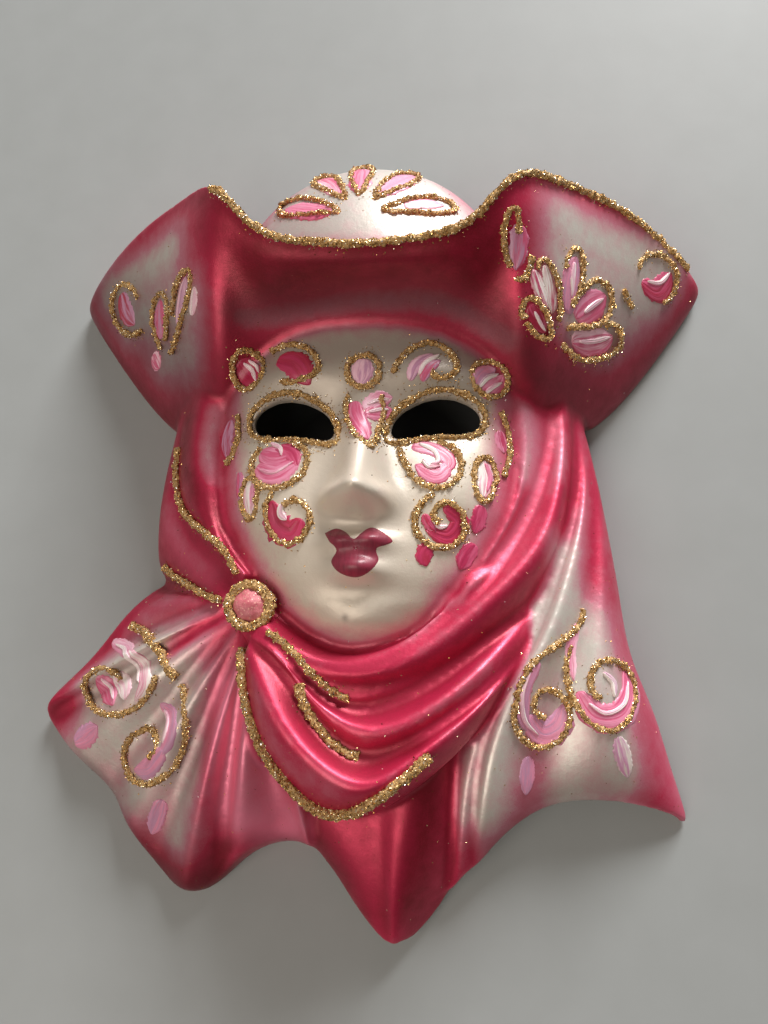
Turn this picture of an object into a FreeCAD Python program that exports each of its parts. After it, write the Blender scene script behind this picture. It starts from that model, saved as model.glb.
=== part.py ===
import FreeCAD, Part
import math
import os
from FreeCAD import Placement, Rotation, Vector

# A half-size ceramic mask for a wall: a tricorn hat, an oval face, a hood and pleated drapes.
# Frame: +Z is up, +X is the viewer's right, the face looks along -Y, and the wall plane is y = 0.
# The origin is on the back rim, at the top of the hat crown.
# Every fold line below is a row of (x, z, depth) points in mm, where depth is measured off the wall.

os.makedirs("parts", exist_ok=True)
doc = FreeCAD.newDocument("wall_mask")

# ---------------------------------------------------------------- driving dimensions
DIMENSIONS = [
    ("wall_thickness", 2.6, "thickness of the cast wall"),
    ("bead_radius", 0.95, "radius of a raised glitter line"),
    ("thick_bead_radius", 1.35, "radius of the heavier glitter lines"),
    ("crown_radius", 45.5, "outside radius of the hat crown at the wall"),
    ("crown_depth", 30.0, "rise of the crown dome above its straight skirt"),
    ("crown_skirt", 8.0, "straight part of the crown next to the wall"),
    ("crown_wall", 3.0, "thickness of the crown, and so of the back rim"),
    ("crown_x", -2.5, "crown axis, sideways"),
    ("crown_z", -44.0, "crown axis, height"),
    ("crown_cut_z", -57.0, "lower end of the crown, inside the brim"),
    ("brooch_radius", 5.6, "radius of the ring of glitter round the brooch"),
    ("stone_radius", 4.6, "radius of the brooch stone"),
    ("stone_height", 2.4, "height of the brooch stone"),
    ("stone_seat", 4.0, "depth of the stone's foot in the knot of folds"),
    ("brooch_x", -30.0, "brooch, sideways"),
    ("brooch_z", -149.8, "brooch, height"),
    ("brooch_off_wall", 36.6, "brooch, in front of the wall"),
    ("wire_radius", 0.8, "hanging loop wire"),
    ("loop_radius", 5.0, "bend radius of the hanging loop"),
    ("loop_leg", 5.0, "straight leg of the hanging loop"),
    ("loop_depth", 8.0, "hinge line of the loop, in front of the wall"),
    ("loop_z", -17.0, "hinge line of the loop, height"),
    ("pivot_gap", 0.08, "running clearance of the wire in a lug"),
    ("lug_width", 3.5, "lug, along the hinge line"),
    ("lug_size", 5.0, "lug, across the hinge line"),
    ("lug_reach", 23.8, "lug, from its open end into the crown wall"),
    ("pin_reach", 6.2, "pin of the loop, from the leg to its free end"),
    ("loop_gap", 0.4, "free play between a leg of the loop and a lug"),
]
sheet = doc.addObject("Spreadsheet::Sheet", "Dimensions")
for row, (alias, value, note) in enumerate(DIMENSIONS, start=1):
    sheet.set("A%d" % row, note)
    sheet.set("B%d" % row, str(value))
    sheet.setAlias("B%d" % row, alias)
doc.recompute()


def size(alias):
    return float(sheet.get(alias))


# ---------------------------------------------------------------- fold lines, (x, z, depth)
# Half of the hat brim, from the outer edge to the centre, first along the foot, last along the back.
BRIM_HALF = [
    [(64, -88, 0), (65, -89, 6), (59, -89, 15), (52, -89, 22.5), (46, -88.5, 27), (41, -86, 29.3),
     (35, -79.5, 33.3), (25, -75, 37.3), (12, -72.5, 41), (0, -72, 42)],
    [(77, -78, 0), (76, -77, 7), (68, -75, 18), (59, -74, 29), (51, -73, 39), (43, -71, 46.5),
     (36, -69, 45.5), (25, -67.5, 45), (12, -67, 46), (0, -67, 46.5)],
    [(90, -61, 0), (88.5, -60, 8), (78, -57, 20), (66, -56, 32), (55, -56, 44), (44, -57, 54),
     (36, -60, 53), (25, -63, 52), (12, -63, 52.5), (0, -63, 53)],
    [(100, -46, 0), (98, -45.5, 8.5), (86, -41, 20), (70, -38, 34), (56, -41, 48), (43.5, -46, 60),
     (35, -53, 60), (25, -59, 59), (12, -60.5, 59), (0, -61, 59)],
    [(102, -41, 0), (100, -40.5, 9), (88, -35, 21), (72, -31, 34), (57, -33, 47.5), (42.5, -40, 62.5),
     (33.5, -49, 63.5), (24, -55.5, 62.5), (12, -57.5, 62), (0, -58.3, 62)],
    [(102, -39, 0), (100, -38.5, 7), (88, -32.6, 18.5), (72, -28.8, 31.5), (57, -30.6, 45),
     (42, -37.5, 60.5), (32.5, -46.5, 61.5), (23.5, -53, 60.5), (12, -55, 60), (0, -56, 60)],
    [(101, -38, 0), (99, -37.5, 3), (87.5, -31.5, 8), (71.5, -27.6, 14), (56.5, -29, 22),
     (41.5, -35.5, 32), (32, -44, 34), (23, -50, 34), (12, -52, 34), (0, -53, 34)],
    [(100.5, -38, 0), (98.5, -37.5, 0), (87, -31.5, 0), (71, -27.5, 0), (56, -28.5, 4), (41, -35, 14),
     (31.5, -43, 20), (22.5, -49, 22), (12, -51, 22), (0, -52, 22)],
]
BRIM_SHIFT = 1.5

# The left side of the hood, from the wall edge to the edge that is tucked under the cheek.
HOOD_LEFT = [
    [(-63, -84, 0), (-67, -104, 0), (-68, -122, 0), (-66, -136, 0), (-52, -143, 12), (-38, -151, 26)],
    [(-63.5, -84, 8), (-67, -104, 8), (-67.5, -121, 9), (-64, -133, 11), (-52, -140.5, 21.5),
     (-39, -148, 31)],
    [(-61, -84, 15), (-63, -104, 14.5), (-61.5, -119, 17), (-55, -130, 22), (-46, -138, 27),
     (-36, -146, 32)],
    [(-58, -84, 19), (-60.5, -104, 16), (-56, -119, 20), (-49.5, -129, 24), (-42, -135.5, 28),
     (-34, -144, 32)],
    [(-56, -84, 22), (-59, -103, 19), (-53.5, -118, 25), (-46.5, -127, 29), (-40, -134, 32),
     (-33, -142, 34)],
    [(-50, -84, 28), (-51, -102, 28.5), (-47, -118, 30.5), (-42, -128, 32), (-37, -135, 33.5),
     (-31.5, -141, 34.5)],
    [(-43, -84, 29), (-43, -101, 27.5), (-41, -117, 26.5), (-37, -129, 26.5), (-32.5, -137, 27.5),
     (-28.5, -143, 29)],
    [(-40, -84, 26), (-40.5, -101, 24), (-38.5, -117, 23), (-34.5, -128, 23.5), (-30, -135, 24.5),
     (-26, -141, 25)],
]

# The band of folds that comes down the right cheek, under the chin and up to the brooch.
CHIN_WRAP = [
    [(40, -84, 26), (40.5, -101, 24), (38, -121, 23), (31, -138, 24), (21, -150, 26), (8, -157, 27),
     (-6, -157, 27), (-18, -151, 27), (-27, -145, 27)],
    [(43, -84, 29), (43, -101, 27.5), (41, -121, 26), (34, -139, 27), (23.5, -152.5, 29),
     (8.5, -160, 30.5), (-7, -160.5, 30.5), (-20, -154, 31), (-29, -147, 31)],
    [(47.5, -84, 26), (46.5, -101, 27.5), (43, -118, 30), (34.5, -135, 33), (21.5, -151, 36),
     (7, -161.5, 38), (-8, -163.5, 38), (-21, -157.5, 37), (-30, -150, 36)],
    [(52.5, -84, 22), (52.5, -100, 22.5), (47.5, -118, 25.5), (39.5, -133, 29), (27.5, -148.5, 34),
     (10, -163.8, 39), (-7, -166.5, 39.6), (-22, -160, 38.4), (-31, -152, 36)],
    [(57.5, -84, 20), (57, -100, 23), (54, -118, 27.5), (47.5, -134, 32), (34, -149.5, 36),
     (14.5, -165, 38.5), (-5, -169, 39), (-22.5, -163, 37.5), (-32, -154, 36)],
    [(60.5, -84, 15), (60, -101, 16), (57.5, -120, 18), (51.5, -137, 20.5), (40, -153, 24.5),
     (20, -169.5, 29), (-3, -173.5, 32), (-22.5, -166, 33.5), (-33, -156, 33)],
    [(58, -84, 10), (57.5, -101, 11), (54, -120, 13), (48, -136, 15), (37, -151, 19), (18, -166, 23),
     (-3, -170, 26), (-21, -163, 28), (-30, -154, 28)],
]

# The right shoulder drape, from its inner valley to the wall edge; each line runs down to the hem.
SHOULDER_DRAPE = [
    [(57, -86, 12), (55, -105, 13), (52, -122, 15), (45, -138, 16), (36, -154, 17), (26, -172, 17),
     (21.5, -190, 15), (19.6, -206, 11), (19.4, -222, 5)],
    [(60.5, -86, 15.5), (59.5, -105, 16), (56, -122, 18), (50, -138, 20), (41.5, -155, 22),
     (32, -172, 21.5), (25.5, -189, 18.5), (23.5, -206, 14), (23, -224, 7)],
    [(60.8, -86, 15.5), (60.8, -105, 16.6), (57.8, -122, 19.3), (52.5, -138, 22.3), (44.5, -155.5, 25),
     (35.5, -172, 25.5), (29.3, -188.5, 23.8), (27, -205, 19), (26.5, -220.5, 9.5)],
    [(61.3, -86, 15), (61.8, -105, 16), (59.4, -122, 18.6), (54.6, -138, 21.6), (47, -156, 24.2),
     (38.5, -172, 24.8), (32.3, -188, 23), (30, -203.5, 18), (29.5, -218, 9.5)],
    [(62, -86, 14), (63.5, -105, 16), (61.5, -121, 20), (57, -138, 24), (50.5, -156, 27),
     (42, -171, 28), (36, -187, 26), (33.5, -202, 21), (33, -214.5, 10.5)],
    [(63, -86, 12), (65.5, -105, 14), (65, -122, 17), (63, -139, 19.5), (58, -156, 21), (52, -172, 21),
     (48.5, -186, 19), (47, -197, 15.5), (46.5, -203, 10)],
    [(63.5, -86, 10), (67, -105, 12), (68, -122, 15.5), (67, -139, 19), (65, -156, 21.5),
     (63.5, -171, 22.5), (64, -184, 20.5), (65, -194, 15.5), (65.5, -199.5, 10)],
    [(64, -86, 7), (67.5, -105, 8), (70, -122, 10), (71.5, -140, 12), (73, -158, 13), (77, -173, 13),
     (80, -186, 11), (82, -196, 8.5), (83, -202.5, 6)],
    [(64, -86, 0), (68, -105, 0), (71, -123, 0), (73.5, -141, 0), (75.5, -158, 0), (80, -175, 0),
     (84.5, -190, 0), (88, -200, 0), (89, -205, 0)],
]

# The collar of hanging folds under the chin, from the top lip to the tucked lower edge.
COLLAR = [
    [(-29, -152, 33), (-22, -157, 34), (-13, -164, 33), (-3, -168, 32), (8, -166, 31), (20, -160, 29),
     (31, -150, 26), (40, -140, 20)],
    [(-28, -155, 37), (-20, -160.5, 38.5), (-12, -168, 38), (-2.5, -173.5, 37), (9, -171, 36.5),
     (21, -164.5, 34), (32, -155, 30), (42, -144, 23)],
    [(-28.5, -156.5, 35.5), (-19.5, -164, 36), (-11.5, -172, 35.5), (-1.5, -177, 35), (10, -175, 35),
     (23, -168, 33), (34, -158, 29), (44, -147, 22)],
    [(-29, -158, 37.5), (-18, -166.5, 40.5), (-10, -175.5, 40), (1, -182, 41), (13, -180, 40.5),
     (26, -171.5, 38), (37, -161, 32), (46, -150, 23.5)],
    [(-29.5, -159, 36), (-16.5, -171.5, 38), (-11, -181, 37), (0, -188.5, 37), (14, -185, 37),
     (28, -175.5, 34), (39.5, -164.5, 28.5), (48, -153, 22)],
    [(-30, -160.5, 37), (-23.5, -172, 42), (-15, -184, 44), (0, -194.5, 44.5), (13, -190, 43),
     (27, -179.5, 38.5), (38, -168.5, 31), (47, -157, 22.5)],
    [(-31, -162, 35), (-28, -175, 36.5), (-20.5, -189.5, 37), (-3, -200.5, 37.5), (13, -195.5, 37),
     (27, -184.5, 33), (37, -172.5, 26.5), (45, -160, 20)],
    [(-31.5, -162.5, 33), (-30.5, -177, 31.5), (-23.5, -193.5, 28.5), (-5, -204, 28), (12, -198, 29.5),
     (25, -187.5, 27.5), (34, -176, 23.5), (42, -163, 18)],
    [(-29, -162, 28), (-28, -176, 26), (-21, -190, 23), (-4, -200, 22), (11, -194, 23), (23, -184, 21),
     (32, -173, 18), (40, -161, 14)],
]

# The pointed tail below the collar, from its left edge to its right edge.
TAIL = [
    [(-25, -186, 14), (-22, -198, 13), (-17.5, -209, 9.5), (-10, -218, 6.5), (-4, -227, 4.5),
     (3, -235.5, 3)],
    [(-20, -187, 20), (-17, -199, 18), (-13, -210, 15), (-7.2, -219.5, 11.5), (-1.8, -228.5, 8.5),
     (4.2, -236.5, 6)],
    [(-8, -188, 24), (-5.5, -200, 22), (-3, -211, 19), (0, -221, 15), (2.5, -230, 10.5),
     (5.6, -237.5, 7)],
    [(4, -188, 25.5), (4.5, -199, 23), (5, -210, 20), (5.8, -221, 16), (6.4, -230, 11.5),
     (7, -238, 7.5)],
    [(15, -186, 29), (13, -198, 26), (11.5, -209, 23), (10, -221, 18), (9, -230, 13), (8.3, -238, 8)],
    [(23, -184, 22), (23.4, -197, 19.5), (23, -209, 15.5), (21, -220, 10.5), (16.4, -229.5, 7),
     (11, -237.3, 5.5)],
    [(27, -183, 15), (27, -197, 12), (27, -208, 8), (25, -219, 4), (19.4, -229.5, 3),
     (12.8, -236.8, 2)],
]

# The fan of pleats on the left shoulder: where the pleats start and where they end.
FAN_GATHER = [
    (-37, -144.5, 28.5), (-37.5, -146, 28.5), (-38, -147.5, 29), (-37.5, -149, 29), (-36.5, -150.2, 29),
     (-35.5, -151.5, 29.3), (-34.5, -152.8, 29.6), (-33.5, -154, 29.8), (-32.5, -155.3, 30),
     (-31.2, -156.6, 30.5), (-30, -158, 30.8), (-28.5, -160, 31.3), (-26.5, -162, 32),
     (-23.5, -164, 32)
]
FAN_HEM = [
    (-66, -138, 5), (-77, -149.5, 5.5), (-88, -162, 6), (-97, -174, 6), (-98.5, -179.5, 5),
     (-88, -189, 6), (-76.5, -199, 8), (-69, -209, 7), (-60.5, -219.5, 7), (-51, -225.5, 6),
     (-42.5, -222.5, 7), (-34.5, -215.5, 10), (-25, -211.5, 13), (-15, -212.5, 13)
]
FAN_STEPS = (0.0, 0.25, 0.5, 0.75, 0.92, 1.0)
PLEAT_DEPTH = 3.9

# Face, in mm: (height, depth on the centre line) and (height, half width).
FACE_PROFILE = [(-166, 21), (-162.5, 29), (-159, 34.5), (-155, 38.6), (-150, 41.6), (-143, 43),
                (-134, 43.5), (-123, 43), (-103, 42), (-85, 43.5), (-71, 43), (-60, 41)]
FACE_HALF_WIDTH = [(-166, 8), (-160, 15), (-155, 22), (-148, 29), (-140, 35.5), (-123, 42.5),
                   (-100, 45), (-71, 43), (-60, 40)]
# Soft mounds and hollows of one half of the face: (x, z, spread x, spread z, rise).
FACE_MOUNDS = [
    (6.6, -122.8, 3.4, 3.6, 4.6),      # wing of the nose
    (0.0, -121.5, 4.6, 4.8, 0.8),      # tip of the nose
    (21.0, -97.0, 14.0, 7.0, -4.5),    # eye socket
    (22.0, -85.0, 15.0, 5.0, 1.8),     # brow
    (25.0, -119.0, 12.0, 10.0, 2.5),   # cheek
    (4.2, -134.2, 4.6, 2.4, 3.6),      # upper lip
    (0.0, -141.3, 6.5, 3.3, 2.3),      # lower lip
    (0.0, -137.6, 8.0, 1.4, -0.8),     # parting of the lips
    (0.0, -137.0, 13.0, 9.0, 1.3),     # mouth
    (0.0, -148.0, 8.0, 3.2, -0.55),    # hollow over the chin
    (0.0, -154.0, 10.0, 6.0, 1.0),     # chin
]
EYE_OPENING = [(7.8, -102.6), (9.6, -97.4), (14.0, -93.6), (21.0, -91.2), (28.0, -91.8), (32.6, -95.4),
               (31.2, -99.2), (25.0, -101.2), (16.0, -102.8)]

# ---------------------------------------------------------------- glitter lines, (x, z)
# Each group is one node: (closed, radius alias, points).
LOOP, LINE = True, False
FINE, THICK = "bead_radius", "thick_bead_radius"


def ellipse(x, z, across, tall, lean=0.0, points=8):
    """A loop of (x, z) points round an ellipse that leans by some degrees."""
    turn = math.radians(lean)
    ring = []
    for step in range(points):
        angle = 2 * math.pi * step / points
        a, b = across * math.cos(angle), tall * math.sin(angle)
        ring.append((x + a * math.cos(turn) - b * math.sin(turn),
                     z + a * math.sin(turn) + b * math.cos(turn)))
    return ring


def arc(x, z, across, tall, start, end, points=7):
    """An open run of (x, z) points on an ellipse, from one angle to another in degrees."""
    run = []
    for step in range(points):
        angle = math.radians(start + (end - start) * step / (points - 1))
        run.append((x + across * math.cos(angle), z + tall * math.sin(angle)))
    return run


def petal(x, z, length, width, lean, points=8):
    """A loop whose narrow end is at (x, z) and whose round end is a length away at an angle."""
    middle = length * 0.55
    turn = math.radians(lean)
    ring = []
    for step in range(points):
        angle = 2 * math.pi * step / points
        along = middle + (length - middle) * math.cos(angle)
        swell = 0.65 + 0.35 * math.cos(angle)
        side = width / 2 * math.sin(angle) * swell
        ring.append((x + along * math.cos(turn) - side * math.sin(turn),
                     z + along * math.sin(turn) + side * math.cos(turn)))
    return ring


def eye_rim(side):
    middle_x, middle_z, spread_x, spread_z = 20.3, -97.2, 1.12, 1.28
    return [(side * (middle_x + (x - middle_x) * spread_x), middle_z + (z - middle_z) * spread_z)
            for x, z in EYE_OPENING]


GLITTER = {
    "crown_glitter": [
        (LOOP, FINE, petal(-7.5, -29.5, 25, 11, 157)),
        (LOOP, FINE, petal(-6.5, -25.0, 23, 9, 124)),
        (LOOP, FINE, petal(-3.5, -24.0, 22, 9.5, 92)),
        (LOOP, FINE, petal(-0.5, -25.5, 22, 9.5, 52)),
        (LOOP, FINE, petal(1.5, -29.5, 25, 10, 16)),
    ],
    "right_wing_glitter": [
        (LINE, FINE, [(41.0, -60.3), (39.3, -56.6), (39.0, -51.9), (41.2, -47.6), (42.8, -53.5)]),
        (LINE, FINE, [(42.0, -62.6), (44.0, -63.0), (46.0, -59.8), (46.6, -57.2)]),
        (LINE, FINE, [(48.4, -59.5), (50.2, -56.2), (53.4, -59.0), (55.0, -63.5), (54.8, -69.5)]),
        (LINE, FINE, [(57.4, -55.5), (58.6, -50.0), (60.8, -48.6), (62.2, -52.5), (61.2, -58.5),
                      (58.6, -64.5)]),
        (LINE, FINE, [(60.6, -61.0), (64.2, -56.0), (68.4, -53.4), (71.6, -55.5), (71.6, -60.0),
                      (67.4, -65.2), (60.8, -68.4), (57.4, -70.2)]),
        (LINE, FINE, [(70.2, -64.2), (74.2, -63.2), (75.6, -66.4), (72.4, -70.4), (66.4, -74.0),
                      (60.0, -75.6), (56.0, -73.6)]),
        (LOOP, FINE, [(44.8, -72.0), (44.2, -68.6), (46.6, -66.6), (49.6, -68.2), (52.2, -71.4),
                      (52.2, -74.6), (48.6, -75.0)]),
        (LINE, FINE, [(81.6, -45.0), (82.8, -40.8), (86.8, -38.4), (91.4, -38.4), (94.6, -41.4),
                      (94.0, -46.4), (90.0, -51.0)]),
        (LINE, FINE, [(76.0, -52.4), (77.4, -54.4), (79.6, -56.2)]),
    ],
    "left_wing_glitter": [
        (LINE, FINE, [(-66.0, -67.4), (-68.4, -61.0), (-67.6, -55.0), (-64.6, -53.0), (-62.2, -55.4),
                      (-61.8, -61.0), (-63.6, -66.8)]),
        (LINE, FINE, [(-59.6, -62.0), (-57.4, -57.0), (-54.0, -53.8), (-50.6, -54.0), (-50.4, -58.6),
                      (-53.4, -63.2), (-57.4, -67.2), (-61.6, -71.0)]),
        (LINE, FINE, [(-75.2, -49.6), (-79.2, -44.2), (-83.8, -42.4), (-87.2, -45.0), (-87.2, -50.6),
                      (-83.6, -55.6), (-78.6, -58.8), (-73.6, -59.0)]),
    ],
    "right_eye_glitter": [(LOOP, FINE, eye_rim(1))],
    "left_eye_glitter": [(LOOP, FINE, eye_rim(-1))],
    "right_brow_glitter": [
        (LINE, FINE, [(8.7, -86), (11.5, -80.5), (15.5, -77), (20, -76.2), (24.6, -79), (26.0, -83.4),
                      (22.8, -86.8), (18.9, -85)]),
        (LOOP, FINE, ellipse(35.4, -84.4, 5.2, 5.2, -10)),
    ],
    "left_brow_glitter": [
        (LINE, FINE, [(-27.5, -76.5), (-23, -74.8), (-18.5, -75.8), (-14, -79.5), (-12.5, -84.0),
                      (-17.5, -87), (-23.5, -86.2)]),
        (LOOP, FINE, ellipse(-34.4, -81.0, 4.8, 5.2, 10)),
    ],
    "forehead_glitter": [
        (LOOP, FINE, ellipse(0.3, -85.2, 4.5, 4.8)),
        (LINE, FINE, [(-3.8, -92), (-4.2, -98), (-1.4, -104.0), (2.8, -108.4), (4.9, -102.6),
                      (5.7, -97.0), (5.2, -92)]),
    ],
    "right_cheek_glitter": [
        (LINE, FINE, [(10.2, -107.4), (12.6, -113), (16.8, -117.8), (22.2, -118.6), (26.4, -115.0),
                      (27.0, -109.8), (24.4, -105.8), (20.4, -104.6)]),
        (LINE, FINE, [(20.0, -120.6), (16.0, -124.2), (15.0, -129.6), (18.4, -134.0), (23.8, -134.2),
                      (27.6, -130.2), (26.8, -124.8), (22.4, -122.8), (19.8, -125.6),
                      (21.2, -128.6)]),
    ],
    "left_cheek_glitter": [
        (LINE, FINE, [(-19.6, -104.8), (-15.4, -108.0), (-15.4, -113.4), (-19.6, -117.4),
                      (-25.4, -118.0), (-30.2, -114.6), (-31.8, -109.4), (-29.6, -104.6)]),
        (LINE, FINE, [(-23.8, -119.6), (-26.2, -124.4), (-24.4, -130.0), (-19.4, -133.8),
                      (-14.4, -131.6), (-13.4, -126.2), (-17.0, -122.2), (-20.8, -123.6)]),
    ],
    "right_temple_glitter": [
        (LOOP, FINE, ellipse(33.6, -114.5, 2.9, 6.6, -4)),
        (LINE, FINE, [(38.5, -93), (40.6, -100), (40.6, -107), (38.6, -112.5)]),
    ],
    "left_temple_glitter": [
        (LOOP, FINE, ellipse(-31.6, -119.6, 2.6, 6.0, 4)),
        (LINE, FINE, [(-38.4, -92.5), (-37.6, -98.0), (-38.8, -103.5), (-41.0, -107.5)]),
    ],
    "hood_glitter": [
        (LINE, FINE, [(-60.5, -98), (-60.3, -106), (-58.6, -113.6), (-54.2, -120.6), (-48.2, -126.2),
                      (-41.2, -131.6), (-37.2, -136.4), (-35.0, -140.4)]),
        (LINE, FINE, [(-63.5, -134.4), (-58, -138.3), (-52, -141.6), (-45.5, -145.2), (-39.5, -147.4)]),
    ],
    "collar_glitter": [
        (LINE, FINE, [(-24.5, -157.0), (-19.6, -160.3), (-14.9, -164.5), (-11, -168.4), (-6.5, -172.2),
                      (-2.5, -173.8)]),
    ],
    "fold_glitter": [
        (LINE, THICK, [(-15.2, -170.8), (-13.2, -176.2), (-9.8, -181.5), (-5.0, -186.0), (1.0, -188.3)]),
    ],
    "hem_glitter": [
        (LINE, THICK, [(-32.0, -161.0), (-31.0, -170), (-28.8, -178.5), (-25.0, -186.6), (-20.2, -193.2),
                       (-14.6, -198.8), (-7.4, -202.6), (0.2, -201.6), (7.2, -197.4), (13.4, -192.6),
                       (18.8, -188.0)]),
    ],
    "fan_glitter": [
        (LINE, THICK, [(-72.5, -152.0), (-66.0, -155.0), (-59.8, -159.6), (-55.6, -164.6),
                       (-52.6, -168.6)]),
        (LINE, FINE, [(-51.4, -170.4), (-49.4, -175.0), (-48.7, -181.0), (-50.2, -187.8), (-54.8, -194.3),
                      (-62.5, -197.2), (-68.8, -195.0), (-70.8, -189.5), (-67.3, -184.2),
                      (-61.2, -182.6), (-58.2, -186.4), (-61.0, -190.0)]),
        (LINE, FINE, [(-58.4, -168.0), (-61.8, -174.0), (-68, -177.8), (-75.6, -178.4), (-81.8, -175.6),
                      (-84.2, -170.8), (-81.0, -166.4), (-75.6, -165.6), (-72.0, -168.6)]),
    ],
    "shoulder_glitter": [
        (LINE, FINE, [(60.6, -148.0), (58.6, -153.2), (54.4, -157.2), (49.4, -160.6), (44.2, -166),
                      (41.0, -173.8), (41.2, -180.6), (45.4, -184.8), (51.0, -184.6), (55.0, -181.0),
                      (55.4, -175.0), (51.6, -170.4), (46.8, -171.8), (46.6, -176.0),
                      (49.6, -177.6)]),
        (LINE, FINE, [(57.0, -158.2), (55.4, -163.4), (55.6, -168.6), (57.8, -174.6), (61.4, -179),
                      (66.4, -180.6), (71.6, -177.2), (74.2, -170.8), (72.6, -164.6), (67.2, -162.0),
                      (62.4, -164.8), (61.6, -169.6), (64.4, -172.2)]),
    ],
}


# ---------------------------------------------------------------- surfaces
def interpolate(pairs, at):
    """Straight-line interpolation in a list of (position, value) sorted by position."""
    for (low, value_low), (high, value_high) in zip(pairs, pairs[1:]):
        if at <= high:
            share = max(0.0, (at - low) / (high - low))
            return value_low + (value_high - value_low) * share
    return pairs[-1][1]


def bump(x, z, mound):
    centre_x, centre_z, spread_x, spread_z, rise = mound
    return rise * math.exp(-((x - centre_x) / spread_x) ** 2 - ((z - centre_z) / spread_z) ** 2)


def nose(x, z):
    """The ridge of the nose rises from between the eyes and ends in a round tip."""
    down = min(1.0, max(0.0, (-92 - z) / 30))
    below = min(1.0, max(0.0, (z + 131) / 9))
    start = min(1.0, max(0.0, (-86 - z) / 12))
    tip = below * below * (3 - 2 * below)
    root = start * start * (3 - 2 * start)
    return (2 + 12.5 * down ** 1.5) * tip * root * math.exp(-(x / (3.9 + 2.3 * down)) ** 2)


def face_depth(x, z):
    across = abs(x) / interpolate(FACE_HALF_WIDTH, z)
    depth = interpolate(FACE_PROFILE, z) - 15.5 * across ** 2.3
    depth -= 28 * max(0.0, across - 1) ** 1.5
    for mound in FACE_MOUNDS:
        depth += bump(x, z, mound) + bump(-x, z, mound)
    return depth + nose(x, z)


def face_net():
    rows, columns = 46, 39
    net = []
    for row in range(rows):
        z = -164.0 + 104.0 * row / (rows - 1)
        half = interpolate(FACE_HALF_WIDTH, z) * 0.99
        net.append([(half * (2 * c / (columns - 1) - 1), z, face_depth(half * (2 * c / (columns - 1) - 1), z))
                    for c in range(columns)])
    return net


def brim_net():
    net = []
    for half in BRIM_HALF:
        left = [(BRIM_SHIFT - x, z, depth) for x, z, depth in half]
        right = [(BRIM_SHIFT + x, z, depth) for x, z, depth in reversed(half)]
        net.append(left + right[1:])
    return net


def fan_net():
    """Pleats spread from the gather to the hem; every second line is a ridge."""
    net = []
    last = len(FAN_GATHER) - 1
    for step in FAN_STEPS:
        row = []
        for index, (start, end) in enumerate(zip(FAN_GATHER, FAN_HEM)):
            bow = 1 + 1.4 * index / last
            ridge = 1 if index % 2 else -1
            depth = start[2] + (end[2] - start[2]) * step ** bow
            depth += ridge * PLEAT_DEPTH * min(1.0, 2 * step) * (1 - 0.5 * step)
            row.append((start[0] + (end[0] - start[0]) * step, start[1] + (end[1] - start[1]) * step, depth))
        net.append(row)
    net.append([(x, z - 1.5, 0) for x, z, depth in FAN_HEM])
    return net


def poles_through(points):
    """The poles of a cubic spline that passes each point at parameters 0, 1, 2 and so on."""
    curve = Part.BSplineCurve()
    curve.interpolate(Points=points, Parameters=[float(index) for index in range(len(points))])
    return curve.getPoles()


def surface_through(net):
    """A smooth surface through a net of points, with one unit of parameter between neighbours."""
    by_row = [poles_through(row) for row in net]
    by_column = [poles_through(list(column)) for column in zip(*by_row)]
    poles = [list(row) for row in zip(*by_column)]
    knots_u = [float(index) for index in range(len(net))]
    knots_v = [float(index) for index in range(len(net[0]))]
    ends_u = [4] + [1] * (len(net) - 2) + [4]
    ends_v = [4] + [1] * (len(net[0]) - 2) + [4]
    surface = Part.BSplineSurface()
    surface.buildFromPolesMultsKnots(poles, ends_u, ends_v, knots_u, knots_v, False, False, 3, 3)
    return surface


def relief_surface(net):
    return surface_through([[Vector(x, -depth, z) for x, z, depth in row] for row in net])


def span(surface, steps_u, steps_v):
    u0, u1, v0, v1 = surface.bounds()
    us = [u0 + (u1 - u0) * step / steps_u for step in range(steps_u + 1)]
    vs = [v0 + (v1 - v0) * step / steps_v for step in range(steps_v + 1)]
    return us, vs


def in_front_of_wall(point):
    return Vector(point.x, min(point.y, 0.0), point.z)


def strip_between(edge, other):
    """The straight strip from one edge curve to another that has the same knots."""
    strip = Part.BSplineSurface()
    strip.buildFromPolesMultsKnots([edge.getPoles(), other.getPoles()], [2, 2], edge.getMultiplicities(),
                                   [0.0, 1.0], edge.getKnots(), False, False, 1, 3)
    return strip.toShape()


def soften(grid, rounds):
    """Each direction in the grid turns towards the mean of its neighbours."""
    for _ in range(rounds):
        grid = [[before + here * 2 + after
                 for before, here, after in zip(row[:1] + row[:-1], row, row[1:] + row[-1:])]
                for row in grid]
        grid = [[a + b * 2 + c for a, b, c in zip(*rows)]
                for rows in zip(grid[:1] + grid[:-1], grid, grid[1:] + grid[-1:])]
        for row in grid:
            for direction in row:
                direction.normalize()
    return grid


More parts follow.
